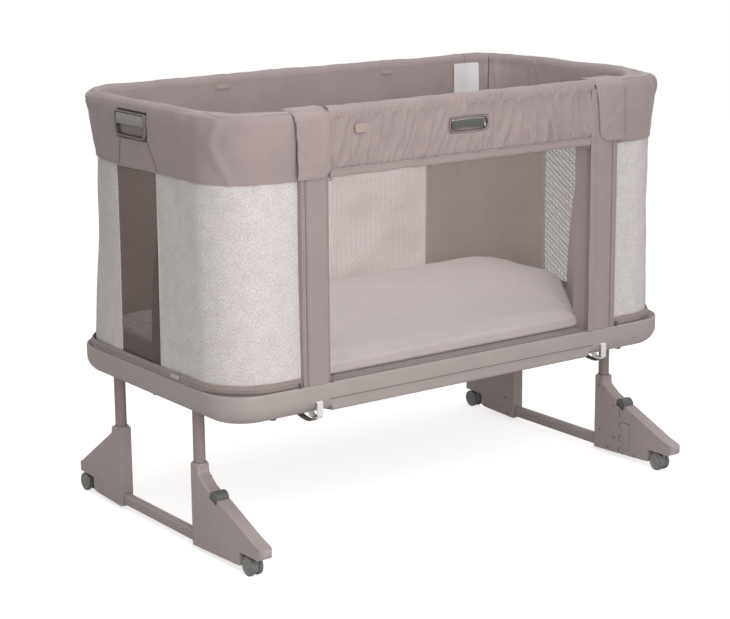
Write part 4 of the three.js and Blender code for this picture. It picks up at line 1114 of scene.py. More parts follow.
# %% Gathered band on the front rail
def make_front_band():
    outer = smooth_line([(11.0, HEM_Z + 1), (12.4, HEM_Z + 12), (13.4, HEM_Z + 30), (14.0, HEM_Z + 58), (13.8, HEM_Z + 92),
                         (12.8, HEM_Z + 112), (9.6, DROP_TOP - 4.5), (0, DROP_TOP - 0.3), (-8.5, DROP_TOP - 3), (-12.6, DROP_TOP - 10)], 66)
    inside = smooth_line([(-12.6, DROP_TOP - 10), (-13.4, DROP_TOP - 30), (-13.2, DROP_TOP - 70), (-12.8, RAIL_Z - 90)], 20)
    under = smooth_line([(-10.4, RAIL_Z - 89.5), (-10.4, DROP_TOP - 12), (-7, DROP_TOP - 5.4), (0, DROP_TOP - 3.2), (7, DROP_TOP - 5.4),
                         (10.4, DROP_TOP - 14), (9.5, RAIL_Z - 60), (8.2, HEM_Z + 2)], 24)
    section = np.concatenate([outer[:-1], inside, under])
    rings = along_x(np.linspace(-DROP_HALF, DROP_HALF, 330), section)
    across, z = rings[:, :, 0], rings[:, :, 2]
    j = np.arange(len(section))
    front = j < 52
    lean_z = np.where(j < 46, z, DROP_TOP + 0.8 * (j - 45))  # folds run on over the crest
    depth = gathers(across, lean_z, HEM_Z + 12, DROP_TOP - 4, 211) + lumps(across, z, 213, 110, 0.9)
    hem = 1.6 * bump_at(z, HEM_Z + 15.5, 1.6)  # the cloth dips where the hem tape is sewn on
    depth = np.where(front[None, :], depth * np.clip((z - HEM_Z - 8) / 12, 0.1, 1) - hem, 0)
    depth += np.where((j >= 52) & (j < 84), lumps(across, z, 214, 60, 0.5), 0)
    depth *= np.clip((DROP_HALF - np.abs(across)) / 6, 0.15, 1)
    lever = step_between(across, -47.5, 47.5, 3) * step_between(z, LATCH_LOW + 0.5, LATCH_HIGH - 0.5, 3)
    beside, above = np.abs(across) - 48, np.abs(z - (LATCH_LOW + LATCH_HIGH) / 2) - 14.5
    around_latch = np.exp(-((np.maximum(beside, 0) / 6) ** 2) - ((np.maximum(above, 0) / 6) ** 2))
    depth = depth * (1 - 0.85 * around_latch * front[None, :])
    rings = rings + normals_of(rings) * depth[:, :, None]
    rings[:, :, 1] += 9.0 * lever * front[None, :]
    padded_piece("front_band_cloth", rings, taupe_cloth, 0.35, "front_band", body="drop_side", sharp_deg=70)


latch_low, latch_high = bed_box("front_latch_bezel")
LATCH_LOW, LATCH_HIGH = float(latch_low[2]), float(latch_high[2])
make_front_band()


# %% Flat hem tape under the gathers
def make_hem_tape():
    outline = [(12.4, 0.6), (14.6, 0.2), (15.3, 2.4), (15.5, 7.5), (15.3, 12.6), (14.6, 14.8), (12.4, 14.4), (11.8, 7.5)]
    section = smooth_line([(out, HEM_Z + up) for out, up in outline], 30, closed=True)
    rings = along_x(np.linspace(-DROP_HALF + 0.5, DROP_HALF - 0.5, 200), section)
    rings[:, :, 2] += lumps(rings[:, :, 0], 0 * rings[:, :, 0], 221, 46, 0.45)
    rings[:, :, 1] += lumps(rings[:, :, 0], rings[:, :, 2], 222, 30, 0.25)
    padded_piece("front_hem_tape", rings, lit_taupe_cloth, 0.1, body="drop_side", sharp_deg=70)


make_hem_tape()


# %% Sheer net that hangs from the drop side
def make_front_net():
    low, high = bed_box("front_mesh")
    wide, _, tall = high - low
    x, z = np.meshgrid(np.linspace(low[0], high[0], 60), np.linspace(low[2], high[2], 40), indexing="ij")
    sag = 0.5 * lumps(x, z, 231, 200, 0.8) * np.sin(math.pi * (x - low[0]) / wide)
    window = loft("front_net", np.stack([x, (low[1] + high[1]) / 2 + sag, z], axis=2), [front_net], closed=False)
    attach(window, "drop_side", "mesh_fabric", "front_mesh")
    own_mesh(window)


make_front_net()


# %% Small parts at the ends of the hem
def rounded_plate(name, outline, front, back, edge, material):
    """A plate standing in the x-z plane, from y = front to y = back, with eased edges."""
    work = bmesh.new()
    ring = [work.verts.new(Vector(to_model((x, front, z)))) for x, z in outline]
    face = work.faces.new(ring)
    out = bmesh.ops.extrude_face_region(work, geom=[face])
    shift = Vector((0, (back - front) * 0.001, 0))
    bmesh.ops.translate(work, vec=shift, verts=[v for v in out["geom"] if isinstance(v, bmesh.types.BMVert)])
    bmesh.ops.recalc_face_normals(work, faces=work.faces)
    rim = [e for e in work.edges if len(e.link_faces) == 2 and e.calc_face_angle(0) > math.radians(50)]
    bmesh.ops.bevel(work, geom=rim, offset=edge * 0.001, segments=3, profile=0.6, affect="EDGES", clamp_overlap=True)
    mesh = as_mesh(work, name)
    shade(mesh, 35)
    return new_object(name, mesh, [material])


def stadium(x0, x1, z0, z1, radius, low_radius=None, steps=8):
    """A rectangle with round corners, whose lower ones may have a radius of their own."""
    low_radius = radius if low_radius is None else low_radius
    corners = ((x1, z1, radius, 0), (x0, z1, radius, 90), (x0, z0, low_radius, 180), (x1, z0, low_radius, 270))
    points = []
    for x, z, r, start in corners:
        middle = (x + (r if x == x0 else -r), z + (r if z == z0 else -r))
        for k in range(steps + 1):
            turn = math.radians(start + 90 * k / steps)
            points.append((middle[0] + r * math.cos(turn), middle[1] + r * math.sin(turn)))
    return points

# %% [markdown]
# ## Hard pieces
# The CAD solids already have the right shapes, but their edges are razor sharp. Each
# copy is welded, its flat facets are joined, and its edges are rolled over by the
# radius that a moulding of that size has.

# %% Copy a CAD solid and ease its edges
def level_normals(mesh, within_deg=48):
    """Shade broad faces flat and eased edges round: each corner averages, by area, the faces near its own direction."""
    corners = np.empty(len(mesh.loops), dtype=int)
    mesh.loops.foreach_get("vertex_index", corners)
    normals = np.array([tuple(p.normal) for p in mesh.polygons])
    areas = np.array([p.area for p in mesh.polygons])
    owners = np.repeat(np.arange(len(normals)), [p.loop_total for p in mesh.polygons])
    around = [[] for _ in mesh.vertices]
    for vertex, face in zip(corners, owners):
        around[vertex].append(face)
    leaning = []
    for vertex, face in zip(corners, owners):
        faces = np.array(around[vertex])
        near = faces[normals[faces] @ normals[face] >= math.cos(math.radians(within_deg))]
        total = (normals[near] * areas[near, None]).sum(axis=0)
        leaning.append(total / max(np.linalg.norm(total), 1e-12) if len(near) else normals[face])
    mesh.normals_split_custom_set(leaning)


def eased(name, node, body, slot, material, radius_mm, segments=2, full=None):
    """Copy a CAD solid; full(x, y, z) picks by their middles the edges that are rolled over much further."""
    work = bmesh.new()
    work.from_mesh(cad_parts[node].data)
    bmesh.ops.remove_doubles(work, verts=work.verts, dist=2e-5)
    bmesh.ops.dissolve_limit(work, angle_limit=math.radians(1.5), verts=work.verts, edges=work.edges)
    if full is not None:
        places = {e: (np.array(e.verts[0].co) + np.array(e.verts[1].co)) * 500 - (0, BED_BACK, 0) for e in work.edges}
        chosen = [e for e in work.edges if e.is_convex and e.calc_face_angle(0) > math.radians(50) and full(*places[e])]
        bmesh.ops.bevel(work, geom=chosen, offset=0.005, segments=5, profile=0.5, affect="EDGES", clamp_overlap=True)
        print(name, "rolled edges:", len(chosen))
    draft = new_object(name + "_draft", as_mesh(work, name + "_raw"), [material])
    rounding = draft.modifiers.new("rounding", "BEVEL")
    rounding.width = radius_mm * 0.001
    rounding.segments = segments
    rounding.limit_method = "ANGLE"
    rounding.angle_limit = math.radians(32)
    rounding.use_clamp_overlap = True
    rounding.harden_normals = False
    mesh = bpy.data.meshes.new_from_object(draft.evaluated_get(bpy.context.evaluated_depsgraph_get()))
    mesh.name = name
    bpy.data.objects.remove(draft)
    shade(mesh, 38)
    piece = new_object(name, mesh)
    if len(piece.data.materials) == 0:
        piece.data.materials.append(material)
    level_normals(piece.data)
    return attach(piece, body, slot, node)


# %% [markdown]
# The tray is one deep moulding: a rounded underside, a small eased lip, and a step
# along the front where the drop side passes. It is lofted from plan outlines, one for
# each height of its profile, so that its corners are truly round.

# %% Tray
HALF_LONG, HALF_DEEP = float(tray_high[0]), float(tray_high[1] - tray_low[1]) / 2
FLOOR_Z, TRAY_CORNER, UNDER_ROUND = float(tray_low[2]), 82.0, 34.0
STEP_HALF, STEP_Z, STEP_IN, STEP_SLANT = 334.0, float(tray_low[2]) + 27, 5.0, 13.0


def tray_outline():
    """Corner by corner: centre, unit direction from it, and how far along the front straight."""
    centres, directions = [], []
    even = np.linspace(-HALF_LONG + TRAY_CORNER, HALF_LONG - TRAY_CORNER, 40)
    even = even[(np.abs(even) < STEP_HALF - 22) | (np.abs(even) > STEP_HALF + 3)]
    front = np.unique(np.concatenate([even, [-STEP_HALF, -STEP_HALF + 1.5, STEP_HALF - 1.5, STEP_HALF]]))
    for x in front:
        centres.append((x, -HALF_DEEP + TRAY_CORNER))
        directions.append((0, -1))
    for sx, sy, start in ((1, -1, 270), (1, 1, 0), (-1, 1, 90), (-1, -1, 180)):
        for k in range(1, 28):
            turn = math.radians(start + 90 * k / 27 - (90 / 27 if k == 27 and (sx, sy) == (-1, -1) else 0))
            centres.append((sx * (HALF_LONG - TRAY_CORNER), sy * (HALF_DEEP - TRAY_CORNER)))
            directions.append((math.cos(turn), math.sin(turn)))
        if (sx, sy) == (1, 1):
            for x in np.linspace(HALF_LONG - TRAY_CORNER, -HALF_LONG + TRAY_CORNER, 30)[1:-1]:
                centres.append((x, HALF_DEEP - TRAY_CORNER))
                directions.append((0, 1))
    return np.array(centres), np.array(directions)


def make_tray():
    centres, directions = tray_outline()
    def round_inset(z):
        return UNDER_ROUND * (1 - math.sin(math.acos(max(0.0, 1 - (z - FLOOR_Z) / UNDER_ROUND))))

    # below the ledge the front is set back; a groove runs right under the ledge
    levels = [FLOOR_Z + UNDER_ROUND * (1 - math.cos(t)) for t in np.linspace(0, math.pi / 2, 12)]
    outside = [(90, FLOOR_Z, 0), (50, FLOOR_Z, 0)] + [(round_inset(z), z, STEP_IN) for z in levels if z < STEP_Z - 3]
    groove = ((STEP_Z - 2.2, STEP_IN), (STEP_Z - 2.1, STEP_IN + 2.6), (STEP_Z, STEP_IN + 2.6), (STEP_Z + 0.08, 0))
    outside += [(round_inset(z), z, back) for z, back in groove]
    outside += [(round_inset(z), z, 0) for z in levels if z > STEP_Z + 1]
    outside += [(0, STEP_Z + 16, 0), (0, RIM - 3, 0), (0.3, RIM - 1.4, 0), (1.1, RIM - 0.4, 0), (2.2, RIM, 0)]
    inside = [(3.4, RIM - 0.2), (4, RIM - 1), (4, RIM - 6), (11, RIM - 6), (11, FLOOR_Z + 34), (13, FLOOR_Z + 22),
              (20, FLOOR_Z + 10), (33, FLOOR_Z + 4.2), (50, FLOOR_Z + 4), (90, FLOOR_Z + 4)]
    profile = outside + [(inset, z, 0) for inset, z in inside]
    rings = []
    across = np.abs(centres[:, 0])
    on_front = (directions[:, 1] < -0.999) & (across < STEP_HALF + 0.5)
    step_end = on_front & (across > STEP_HALF - 2)
    for inset, z, back in profile:
        ring = centres + directions * (TRAY_CORNER - inset)
        height = np.full(len(ring), z)
        if back:
            slant = STEP_SLANT * (STEP_Z - z) / (STEP_Z - FLOOR_Z)
            ring[:, 0] -= np.where(step_end, np.sign(ring[:, 0]) * max(0.0, slant), 0)
            left = max(0.0, 8 - (z - FLOOR_Z))  # what is left of the 8 mm rounding at the foot
            face = -HALF_DEEP + back + 8 - math.sqrt(64 - left**2)
            ring[:, 1] = np.where(on_front & (across < STEP_HALF - 0.75), face, ring[:, 1])
        rings.append(np.stack([ring[:, 0], ring[:, 1], height], axis=1))
    tray = loft("tray_shell", np.array(rings), [tray_plastic], sharp_deg=32)
    return attach(tray, "crib", "tray_plastic", "tray")


make_tray()

# %% Leg housings, feet, crossbars and casters
def rolled_column(x, y, z):
    return y > -188 and 20 < z < 170.5 and abs(abs(abs(x) - 520) - 14) < 0.2


def rolled_rear(x, y, z):
    return 44 < z < 170.5 and math.hypot(abs(x) - 520, y - 172) > 14 and math.hypot(abs(x) - 520, y - 311) > 6


def rolled_foot(x, y, z):
    return z > 44 and y < -231 and math.hypot(abs(x) - 520, y + 318) > 6


for label, side in ENDS:
    leg = f"leg_{label}"
    for place, rolled in (("front", rolled_column), ("rear", rolled_rear)):
        end = f"{place}_{label}"
        eased(f"leg_housing_{end}", f"housing_{end}", leg, "leg_plastic", leg_plastic, 1.0, 3, rolled)
        eased(f"fork_{end}", f"caster_fork_{end}", f"caster_{end}", "dark_grey", wheel_plastic, 0.7)
        eased(f"catch_tab_{end}", f"catch_{end}", f"catch_{end}", "dark_grey", dark_plastic, 0.6)
    foot, button = f"front_foot_{label}", f"fold_button_{label}"
    eased(f"leg_foot_{label}", foot, foot, "leg_plastic", leg_plastic, 1.0, 3, rolled_foot)
    eased(f"cross_tube_{label}", f"crossbar_{label}", leg, "leg_plastic", leg_plastic, 0.6)
    eased(f"release_button_{label}", button, button, "dark_grey", dark_plastic, 1.6, 3)
    eased(f"hook_{label}", f"anchor_hook_{label}", "crib", "white_plastic", hook_plastic, 0.7)
    eased(f"guide_{label}", f"side_guide_{label}", "drop_side", "tray_plastic", tray_plastic, 0.8)


# %% [markdown]
# The grips in the ends and the latch in the front are moulded frames that clamp the cloth, each with a cup behind that
# is coloured dark as painted shade. They are lofted in one go: from the back of the cup, round its outside, over the
# frame's rounded face, and down into the cup.

# %% Frame with a cup behind it
def cup_frame(name, outer, mouth, depth, materials, axis, face, side=1):
    """outer and mouth are outlines of (across, z) with as many points; face is where the frame's face lies."""
    outer, mouth = np.array(outer), np.array(mouth)
    middle = mouth.mean(axis=0)

    def shrunk(outline, by):
        size = np.ptp(outline, axis=0) / 2
        return middle + (outline - middle) * (1 - by / size)

    stations = [(shrunk(mouth, 0.5), depth), (shrunk(mouth, -1.6), depth - 1.5), (shrunk(mouth, -1.6), 4.6),
                (shrunk(outer, 2.0), 4.6), (outer, 4.0), (outer, 0.9), (shrunk(outer, 0.25), 0.25), (shrunk(outer, 0.9), 0.0),
                (shrunk(mouth, -0.9), 0.0), (shrunk(mouth, -0.25), 0.25), (mouth, 0.9), (mouth, 5.0),
                (shrunk(mouth, 2.0), depth - 4), (shrunk(mouth, 6.0), depth - 2)]
    rings = []
    for outline, inward in stations:
        across, z = outline.T
        at = side * (face - inward) if axis == "x" else face + inward
        level = np.full(len(z), at)
        rings.append(np.stack([level, across, z] if axis == "x" else [across, level, z], axis=1))
    # slot 1, the inside of the cup, takes the painted recess shade
    ring_slots = [1, 1, 1, 0, 0, 0, 0, 0, 0, 0, 1, 1, 1, 1]
    return loft(name, np.array(rings), materials, ring_slots=ring_slots, sharp_deg=38)


# %% End grips, and the plates that are squeezed to release them
GRIP_FACE = -float(bezel_low[0])
for label, side in ENDS:
    y0, y1 = GRIP_Y - GRIP_HALF, GRIP_Y + GRIP_HALF
    frame_outer = stadium(y0, y1, GRIP_LOW, GRIP_TOP, 3, 13, steps=7)
    frame_mouth = stadium(y0 + 4.0, y1 - 4.0, GRIP_LOW + 3.6, GRIP_TOP - 2.6, 1.8, 10, steps=7)
    plastics = [frame_plastic, recess_shade_plastic]
    grip = cup_frame(f"grip_frame_{label}", frame_outer, frame_mouth, 24, plastics, "x", GRIP_FACE, side)
    attach(grip, "crib", "handle_grey", f"end_bezel_{label}")
    pull_low, pull_high = bed_box(f"end_pull_{label}")
    plate_low, plate_high = float(pull_low[2]) - 1.0, float(pull_high[2]) - 0.2
    section = smooth_line([(0.4, plate_high), (-0.6, plate_high - 4), (-1.4, plate_high - 11), (-0.9, plate_high - 17),
                           (0.6, plate_low + 1.4), (2.2, plate_low), (4.4, plate_low + 1.2),
                           (3.4, plate_high - 15), (3.0, plate_high - 6), (3.2, plate_high)], 40, closed=True)
    ys = np.linspace(y0 + 4.6, y1 - 4.6, 26)
    thin = 0.35 + 0.65 * np.clip(np.minimum(ys - ys[0], ys[-1] - ys) / 2.0, 0, 1) ** 0.5
    plate = [np.stack([side * (GRIP_FACE - 1.6 - section[:, 0] * t), np.full(40, y), section[:, 1]], axis=1)
             for y, t in zip(ys, thin)]
    pull = loft(f"grip_pull_{label}", np.array(plate), [pull_plastic], sharp_deg=50)
    attach(pull, f"end_pull_{label}", "handle_grey", f"end_pull_{label}")


# %% Latch frame in the front band
latch_front = float(latch_low[1])
latch_outer = stadium(-48, 48, LATCH_LOW, LATCH_HIGH, (LATCH_HIGH - LATCH_LOW) / 2 - 0.4)
latch_mouth = stadium(-45.4, 45.4, LATCH_LOW + 2.4, LATCH_HIGH - 2.4, (LATCH_HIGH - LATCH_LOW) / 2 - 2.8)
latch = cup_frame("latch_frame", latch_outer, latch_mouth, 13.5, [latch_plastic, recess_shade_plastic], "y", latch_front)
attach(latch, "drop_side", "dark_grey", "front_latch_bezel")


# %% [markdown]
# The latch lever is an arched blade with a rounded top lip, so that fingers find its lower edge. The lip is paler: a
# painted highlight along the lever's rounded top.

# %% Latch lever
def make_lever():
    low, high = bed_box("front_latch_lever")
    half, middle = 39.0, -4.0
    front = float(low[1]) - 1.6

    def arch(drop, rise):
        across = np.linspace(half, -half, 25)
        return [(middle + x, float(high[2]) - drop + rise * math.cos(x / half * math.pi / 2)) for x in across]

    blade = rounded_plate("latch_lever", arch(1.2, 1.2) + arch(18.6, 3.4)[::-1], front, front + 3.6, 1.1, lever_plastic)
    attach(blade, "front_lever", "handle_grey", "front_latch_lever")
    # The pale strip along the top is a painted highlight, where light catches the lever's rounded top
    highlight_line = arch(0.6, 1.2)
    highlight_line += [(x, z - 1.3) for x, z in reversed(highlight_line)]
    lip = rounded_plate("latch_lever_highlight_lip", highlight_line, front + 0.1, front + 3.4, 0.6, handle_plastic)
    attach(lip, "front_lever", "handle_grey")
    outline = stadium(37.5, 43.5, LATCH_LOW + 6.5, LATCH_LOW + 14, 2)
    stop = rounded_plate("latch_stop", outline, latch_front + 3.0, latch_front + 5.5, 0.6, handle_plastic)
    attach(stop, "drop_side", "dark_grey")


make_lever()


# %% [markdown]
# The tubes, wheels and pins are turned shapes: a profile of radius against length,
# swept round an axis. Each profile is closed on itself, so the solid is hollow where
# the real one is.

# %% Turned shapes
def turned(name, profile, centre, axis, materials, strips=None, sides=48):
    """profile is a closed list of (radius, distance along the axis)."""
    rings = []
    across = {"x": (0, 1, 2), "z": (2, 0, 1)}[axis]
    for turn in np.linspace(0, 2 * math.pi, sides, endpoint=False):
        ring = np.zeros((len(profile), 3))
        for k, (radius, along) in enumerate(profile):
            ring[k, across[0]] = along
            ring[k, across[1]] = radius * math.cos(turn)
            ring[k, across[2]] = radius * math.sin(turn)
        rings.append(ring + centre)
    count = len(profile)
    faces, slots = [], []
    for i in range(sides):
        n = (i + 1) % sides
        for j in range(count):
            k = (j + 1) % count
            faces.append((i * count + j, i * count + k, n * count + k, n * count + j))
            slots.append(0 if strips is None else strips[j])
    mesh = bpy.data.meshes.new(name)
    mesh.from_pydata(to_model(np.array(rings).reshape(-1, 3)).tolist(), [], faces)
    mesh.polygons.foreach_set("material_index", slots)
    face_outwards(mesh, weld=1e-7)
    shade(mesh, 35)
    return new_object(name, mesh, materials)


# %% Leg tubes with a plastic collar at the top of each housing
for label, side in ENDS:
    for place in ("front", "rear"):
        low, high = bed_box(f"leg_tube_{place}_{label}")
        housing_top = float(bed_box(f"housing_{place}_{label}")[1][2])
        middle = (low + high) / 2
        centre = np.array([middle[0], middle[1], 0])
        outer = float(high[1] - low[1]) / 2
        z0, z1 = float(low[2]), float(high[2])
        wall = [(-1.5, z0), (-0.4, z0), (0, z0 + 0.6), (0, z1 - 0.6), (-0.4, z1), (-1.5, z1)]
        tube = turned(f"tube_{place}_{label}", [(outer + out, z) for out, z in wall], centre, "z", [tube_coat])
        attach(tube, "crib", "tube_metal", f"leg_tube_{place}_{label}")
        wall = [(0.5, -6), (3.4, -6), (3.7, -2), (3.7, 1.6), (3.2, 2.4), (0.9, 2.6), (0.5, 2.0)]
        profile = [(outer + out, housing_top + up) for out, up in wall]
        collar = turned(f"collar_{place}_{label}", profile, centre, "z", [leg_plastic])
        attach(collar, f"leg_{label}", "leg_plastic")


# %% Twin wheels: a softer tread ring around a hub with a dished face
def make_wheel_pair(place, label):
    node = f"caster_wheels_{place}_{label}"
    low, high = bed_box(node)
    middle = (low + high) / 2
    radius = float(high[2] - low[2]) / 2
    far = float(high[0] - low[0]) / 2
    near = far - 8.0
    plastics = [tyre_plastic, wheel_plastic]
    profile = [(2.5, near + 0.4), (radius - 4.5, near + 0.4), (radius - 3.8, near), (radius - 1.2, near),
               (radius - 0.3, near + 0.9), (radius, near + 2.2), (radius, far - 2.2), (radius - 0.3, far - 0.9),
               (radius - 1.3, far), (radius - 3.6, far), (radius - 4.4, far - 1.1), (radius - 6, far - 1.6),
               (7.5, far - 1.8), (6.8, far - 0.6), (4, far - 0.3), (2.5, far - 0.3)]
    strips = [1, 1, 0, 0, 0, 0, 0, 0, 0, 1, 1, 1, 1, 1, 1, 1]
    parts = [turned("wheel", [(r, hand * a) for r, a in profile], middle, "x", plastics, strips) for hand in (-1, 1)]
    end = far - 0.2
    profile = [(0.001, -end), (2.4, -end), (2.4, end), (0.001, end)]
    parts.append(turned("axle", profile, middle, "x", plastics, [1] * 4, 20))
    work = bmesh.new()
    for part in parts:
        work.from_mesh(part.data)
    mesh = as_mesh(work, f"twin_wheels_{place}_{label}")
    shade(mesh, 35)
    for part in parts:
        bpy.data.objects.remove(part)
    pair = new_object(f"twin_wheels_{place}_{label}", mesh, plastics)
    attach(pair, f"wheels_{place}_{label}", "wheel_grey", node)


for label, side in ENDS:
    for place in ("front", "rear"):
        make_wheel_pair(place, label)


# %% [markdown]
# A few CAD solids keep their own shape, because they are simple bars and a board that
# the cloth mostly hides. They only take a finish.

# %% Finishes on the pieces kept from the CAD
bars = [(node, tube_coat) for node in ("rail_frame_left", "rail_frame_right", "front_rail")]
for node, material in bars + [("bed_board", board_panel)]:
    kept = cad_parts[node].data
    for index in range(max(1, len(kept.materials))):
        if len(kept.materials) == 0:
            kept.materials.append(material)
        kept.materials[index] = material
print("kept:", [n for n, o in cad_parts.items() if not o.hide_render])

# %% [markdown]
# ## Mattress
# The mattress is a sewn cover over foam. Its cover is inflated a little as cloth from
# a slightly smaller block, with its underside held down, which gives the crown and
# the soft, full edge that a flat block lacks.

# %% Inflate the mattress cover
def block_height(y, height):
    """Heights of the block before it swells: lower at the front, full at the back."""
    edge, crown = 39 + 0.048 * y, 43 + 0.053 * y
    return float(np.interp(height, [0, 6, 24, 32, 42], [0, 6, edge - 7, edge, crown]))


COVER_CLOTH = {"quality": 5, "mass": 0.3, "use_pressure": True, "uniform_pressure_force": 3.0, "tension_stiffness": 15,
               "compression_stiffness": 15, "bending_stiffness": 1.5, "vertex_group_mass": "underside"}
MOST_SWELL = 0.005  # metres


def make_mattress():
    low, high = (np.array(v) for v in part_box("mattress"))
    middle = (low + high) / 2
    work = bmesh.new()
    work.from_mesh(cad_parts["mattress"].data)
    bmesh.ops.remove_doubles(work, verts=work.verts, dist=2e-5)
    for vert in work.verts:  # start smaller than the finished pad, because it swells
        vert.co.x = middle[0] + (vert.co.x - middle[0]) * 0.998
        vert.co.y = middle[1] + (vert.co.y - middle[1]) * 0.993
        y = vert.co.y * 1000 - BED_BACK
        vert.co.z = low[2] + 0.001 * block_height(y, (vert.co.z - low[2]) * 1000)
        if y < -150:  # the slanted corners are filled out towards their lining
            vert.co.x *= 1.07
        elif 40 < y < 130:
            vert.co.x *= 1.02
            vert.co.y -= 0.048
    draft = new_object("mattress_draft", as_mesh(work, "mattress_block"))
    remesh = draft.modifiers.new("even faces", "REMESH")
    remesh.mode = "VOXEL"
    remesh.voxel_size = 0.007
    soften = draft.modifiers.new("soften", "SMOOTH")
    soften.factor, soften.iterations = 0.5, 2
    mesh = bpy.data.meshes.new_from_object(draft.evaluated_get(bpy.context.evaluated_depsgraph_get()))
    bpy.data.objects.remove(draft)
    pad = new_object("mattress_pad", mesh, [mattress_cover])
    start = np.empty(len(mesh.vertices) * 3)
    mesh.vertices.foreach_get("co", start)
    start = start.reshape(-1, 3)
    held = pad.vertex_groups.new(name="underside")
    held.add([int(i) for i in np.nonzero(start[:, 2] < low[2] + 0.006)[0]], 1.0, "REPLACE")
    cloth = pad.modifiers.new("cover", "CLOTH")
    for setting, value in COVER_CLOTH.items():
        setattr(cloth.settings, setting, value)
    cloth.settings.effector_weights.gravity = 0
    cloth.collision_settings.use_collision = False
    cloth.point_cache.frame_start, cloth.point_cache.frame_end = 1, 20
    for number in range(1, 21):
        bpy.context.scene.frame_set(number)
    moved = np.empty(len(start) * 3)
    pad.evaluated_get(bpy.context.evaluated_depsgraph_get()).data.vertices.foreach_get("co", moved)
    moved = moved.reshape(-1, 3) - start
    pad.modifiers.remove(cloth)
    bpy.context.scene.frame_set(1)
    far = np.linalg.norm(moved, axis=1, keepdims=True)
    start = start + moved * np.minimum(1, MOST_SWELL / np.maximum(far, 1e-9))
    print(f"mattress cover moved {far.mean() * 1000:.1f} mm on average, at most {far.max() * 1000:.1f}")
    x, y = start[:, 0] * 1000, start[:, 1] * 1000
    top = np.clip((start[:, 2] - low[2]) / 0.03 - 0.2, 0, 1)
    start[:, 2] += top * (lumps(x, y, 301, 240, 0.9) + lumps(x, y, 302, 70, 0.35)) * 0.001
    start[:, 2] = np.maximum(start[:, 2], low[2] + 0.0002)
    start[:, :2] = np.clip(start[:, :2], low[:2], high[:2])
    mesh.vertices.foreach_set("co", start.ravel())
    mesh.update()
    finer = pad.modifiers.new("finer", "SUBSURF")
    finer.levels = finer.render_levels = 1
    mesh = bpy.data.meshes.new_from_object(pad.evaluated_get(bpy.context.evaluated_depsgraph_get()))
    pad.modifiers.remove(finer)
    pad.data = mesh
    face_outwards(pad.data)
    shade(pad.data, 60)
    pad.vertex_groups.clear()
    attach(pad, "mattress", "mattress_fabric", "mattress")
    print("mattress pad:", len(pad.data.polygons), "faces, top at", round(float(start[:, 2].max()) * 1000, 1), "mm")


make_mattress()

# %% [markdown]
# ## Seams and stitches
# A seam is a thin cord in a groove, and beside it run the stitches. A stitch is tiny
# and there are hundreds, so they come from one geometry node tree: a drawn line is
# sampled at every stitch, a small bead is set there along the line, and all beads
# become one mesh. The tree is built once and its sizes are its inputs.

# %% Geometry nodes: beads along a line
def node_tree(name, made, inputs):
    """A geometry tree: itself, its input ids by label, its start's outputs and its end's inputs."""
    tree = bpy.data.node_groups.new(name, "GeometryNodeTree")
    ids = {}
    for label, kind, default in inputs:
        socket = tree.interface.new_socket(label, in_out="INPUT", socket_type="NodeSocket" + kind)
        if default is not None:
            socket.default_value = default
        ids[label] = socket.identifier
    tree.interface.new_socket(made, in_out="OUTPUT", socket_type="NodeSocketGeometry")
    return tree, ids, tree.nodes.new("NodeGroupInput").outputs, tree.nodes.new("NodeGroupOutput").inputs


def made_by(tree, kind, setting=None, **values):
    """Add a node, set one of its options, fill its sockets, and give its first output."""
    node = tree.nodes.new(kind)
    if setting:
        setattr(node, *setting)
    return put(tree, node, **values).outputs[0]


def stitch_tree():
    inputs = [("Line", "Geometry", None), ("Pitch", "Float", 0.003), ("Length", "Float", 0.002), ("Width", "Float", 0.0006),
              ("Finish", "Material", None)]
    tree, ids, start, end = node_tree("stitches along a line", "Stitches", inputs)
    curve = made_by(tree, "GeometryNodeMeshToCurve", Mesh=start["Line"])
    points = made_by(tree, "GeometryNodeResampleCurve", ("mode", "LENGTH"), Curve=curve, Length=start["Pitch"])
    bead = made_by(tree, "GeometryNodeMeshIcoSphere", Radius=0.5, Subdivisions=2)
    size = made_by(tree, "ShaderNodeCombineXYZ", X=start["Length"], Y=start["Width"], Z=start["Width"])
    tangent = made_by(tree, "GeometryNodeInputTangent")
    turn = made_by(tree, "FunctionNodeAlignRotationToVector", ("axis", "X"), Vector=tangent)
    placed = made_by(tree, "GeometryNodeInstanceOnPoints", Points=points, Instance=bead, Rotation=turn, Scale=size)
    real = made_by(tree, "GeometryNodeRealizeInstances", Geometry=placed)
    tree.links.new(made_by(tree, "GeometryNodeSetMaterial", Geometry=real, Material=start["Finish"]), end[0])
    return tree, ids


STITCHES = stitch_tree()


def grown(name, grower, vertices, edges, values, body, slot):
    """Run a node tree on a helper mesh and keep the result as one plain mesh on a body."""
    helper_mesh = bpy.data.meshes.new(name + "_line")
    helper_mesh.from_pydata([tuple(v) for v in to_model(vertices)], edges, [])
    helper = new_object(name + "_helper", helper_mesh)
    growth = helper.modifiers.new("grow", "NODES")
    growth.node_group, ids = grower
    for label, value in values.items():
        growth[ids[label]] = value
    made = bpy.data.meshes.new_from_object(helper.evaluated_get(bpy.context.evaluated_depsgraph_get()))
    made.name = name
    bpy.data.objects.remove(helper)
    shade(made, 60)
    print(name, len(made.polygons), "faces")
    return attach(new_object(name, made), body, slot)


def stitches(name, lines, body, material, pitch_mm=3.4, length_mm=2.3, width_mm=0.75):
    vertices, edges = [], []
    for line in lines:
        first = len(vertices)
        vertices.extend(np.asarray(line, float))
        edges.extend((first + k, first + k + 1) for k in range(len(line) - 1))
    values = {"Pitch": pitch_mm * 0.001, "Length": length_mm * 0.001, "Width": width_mm * 0.001, "Finish": material}
    return grown(name, STITCHES, np.array(vertices), edges, values, body, "taupe_fabric")


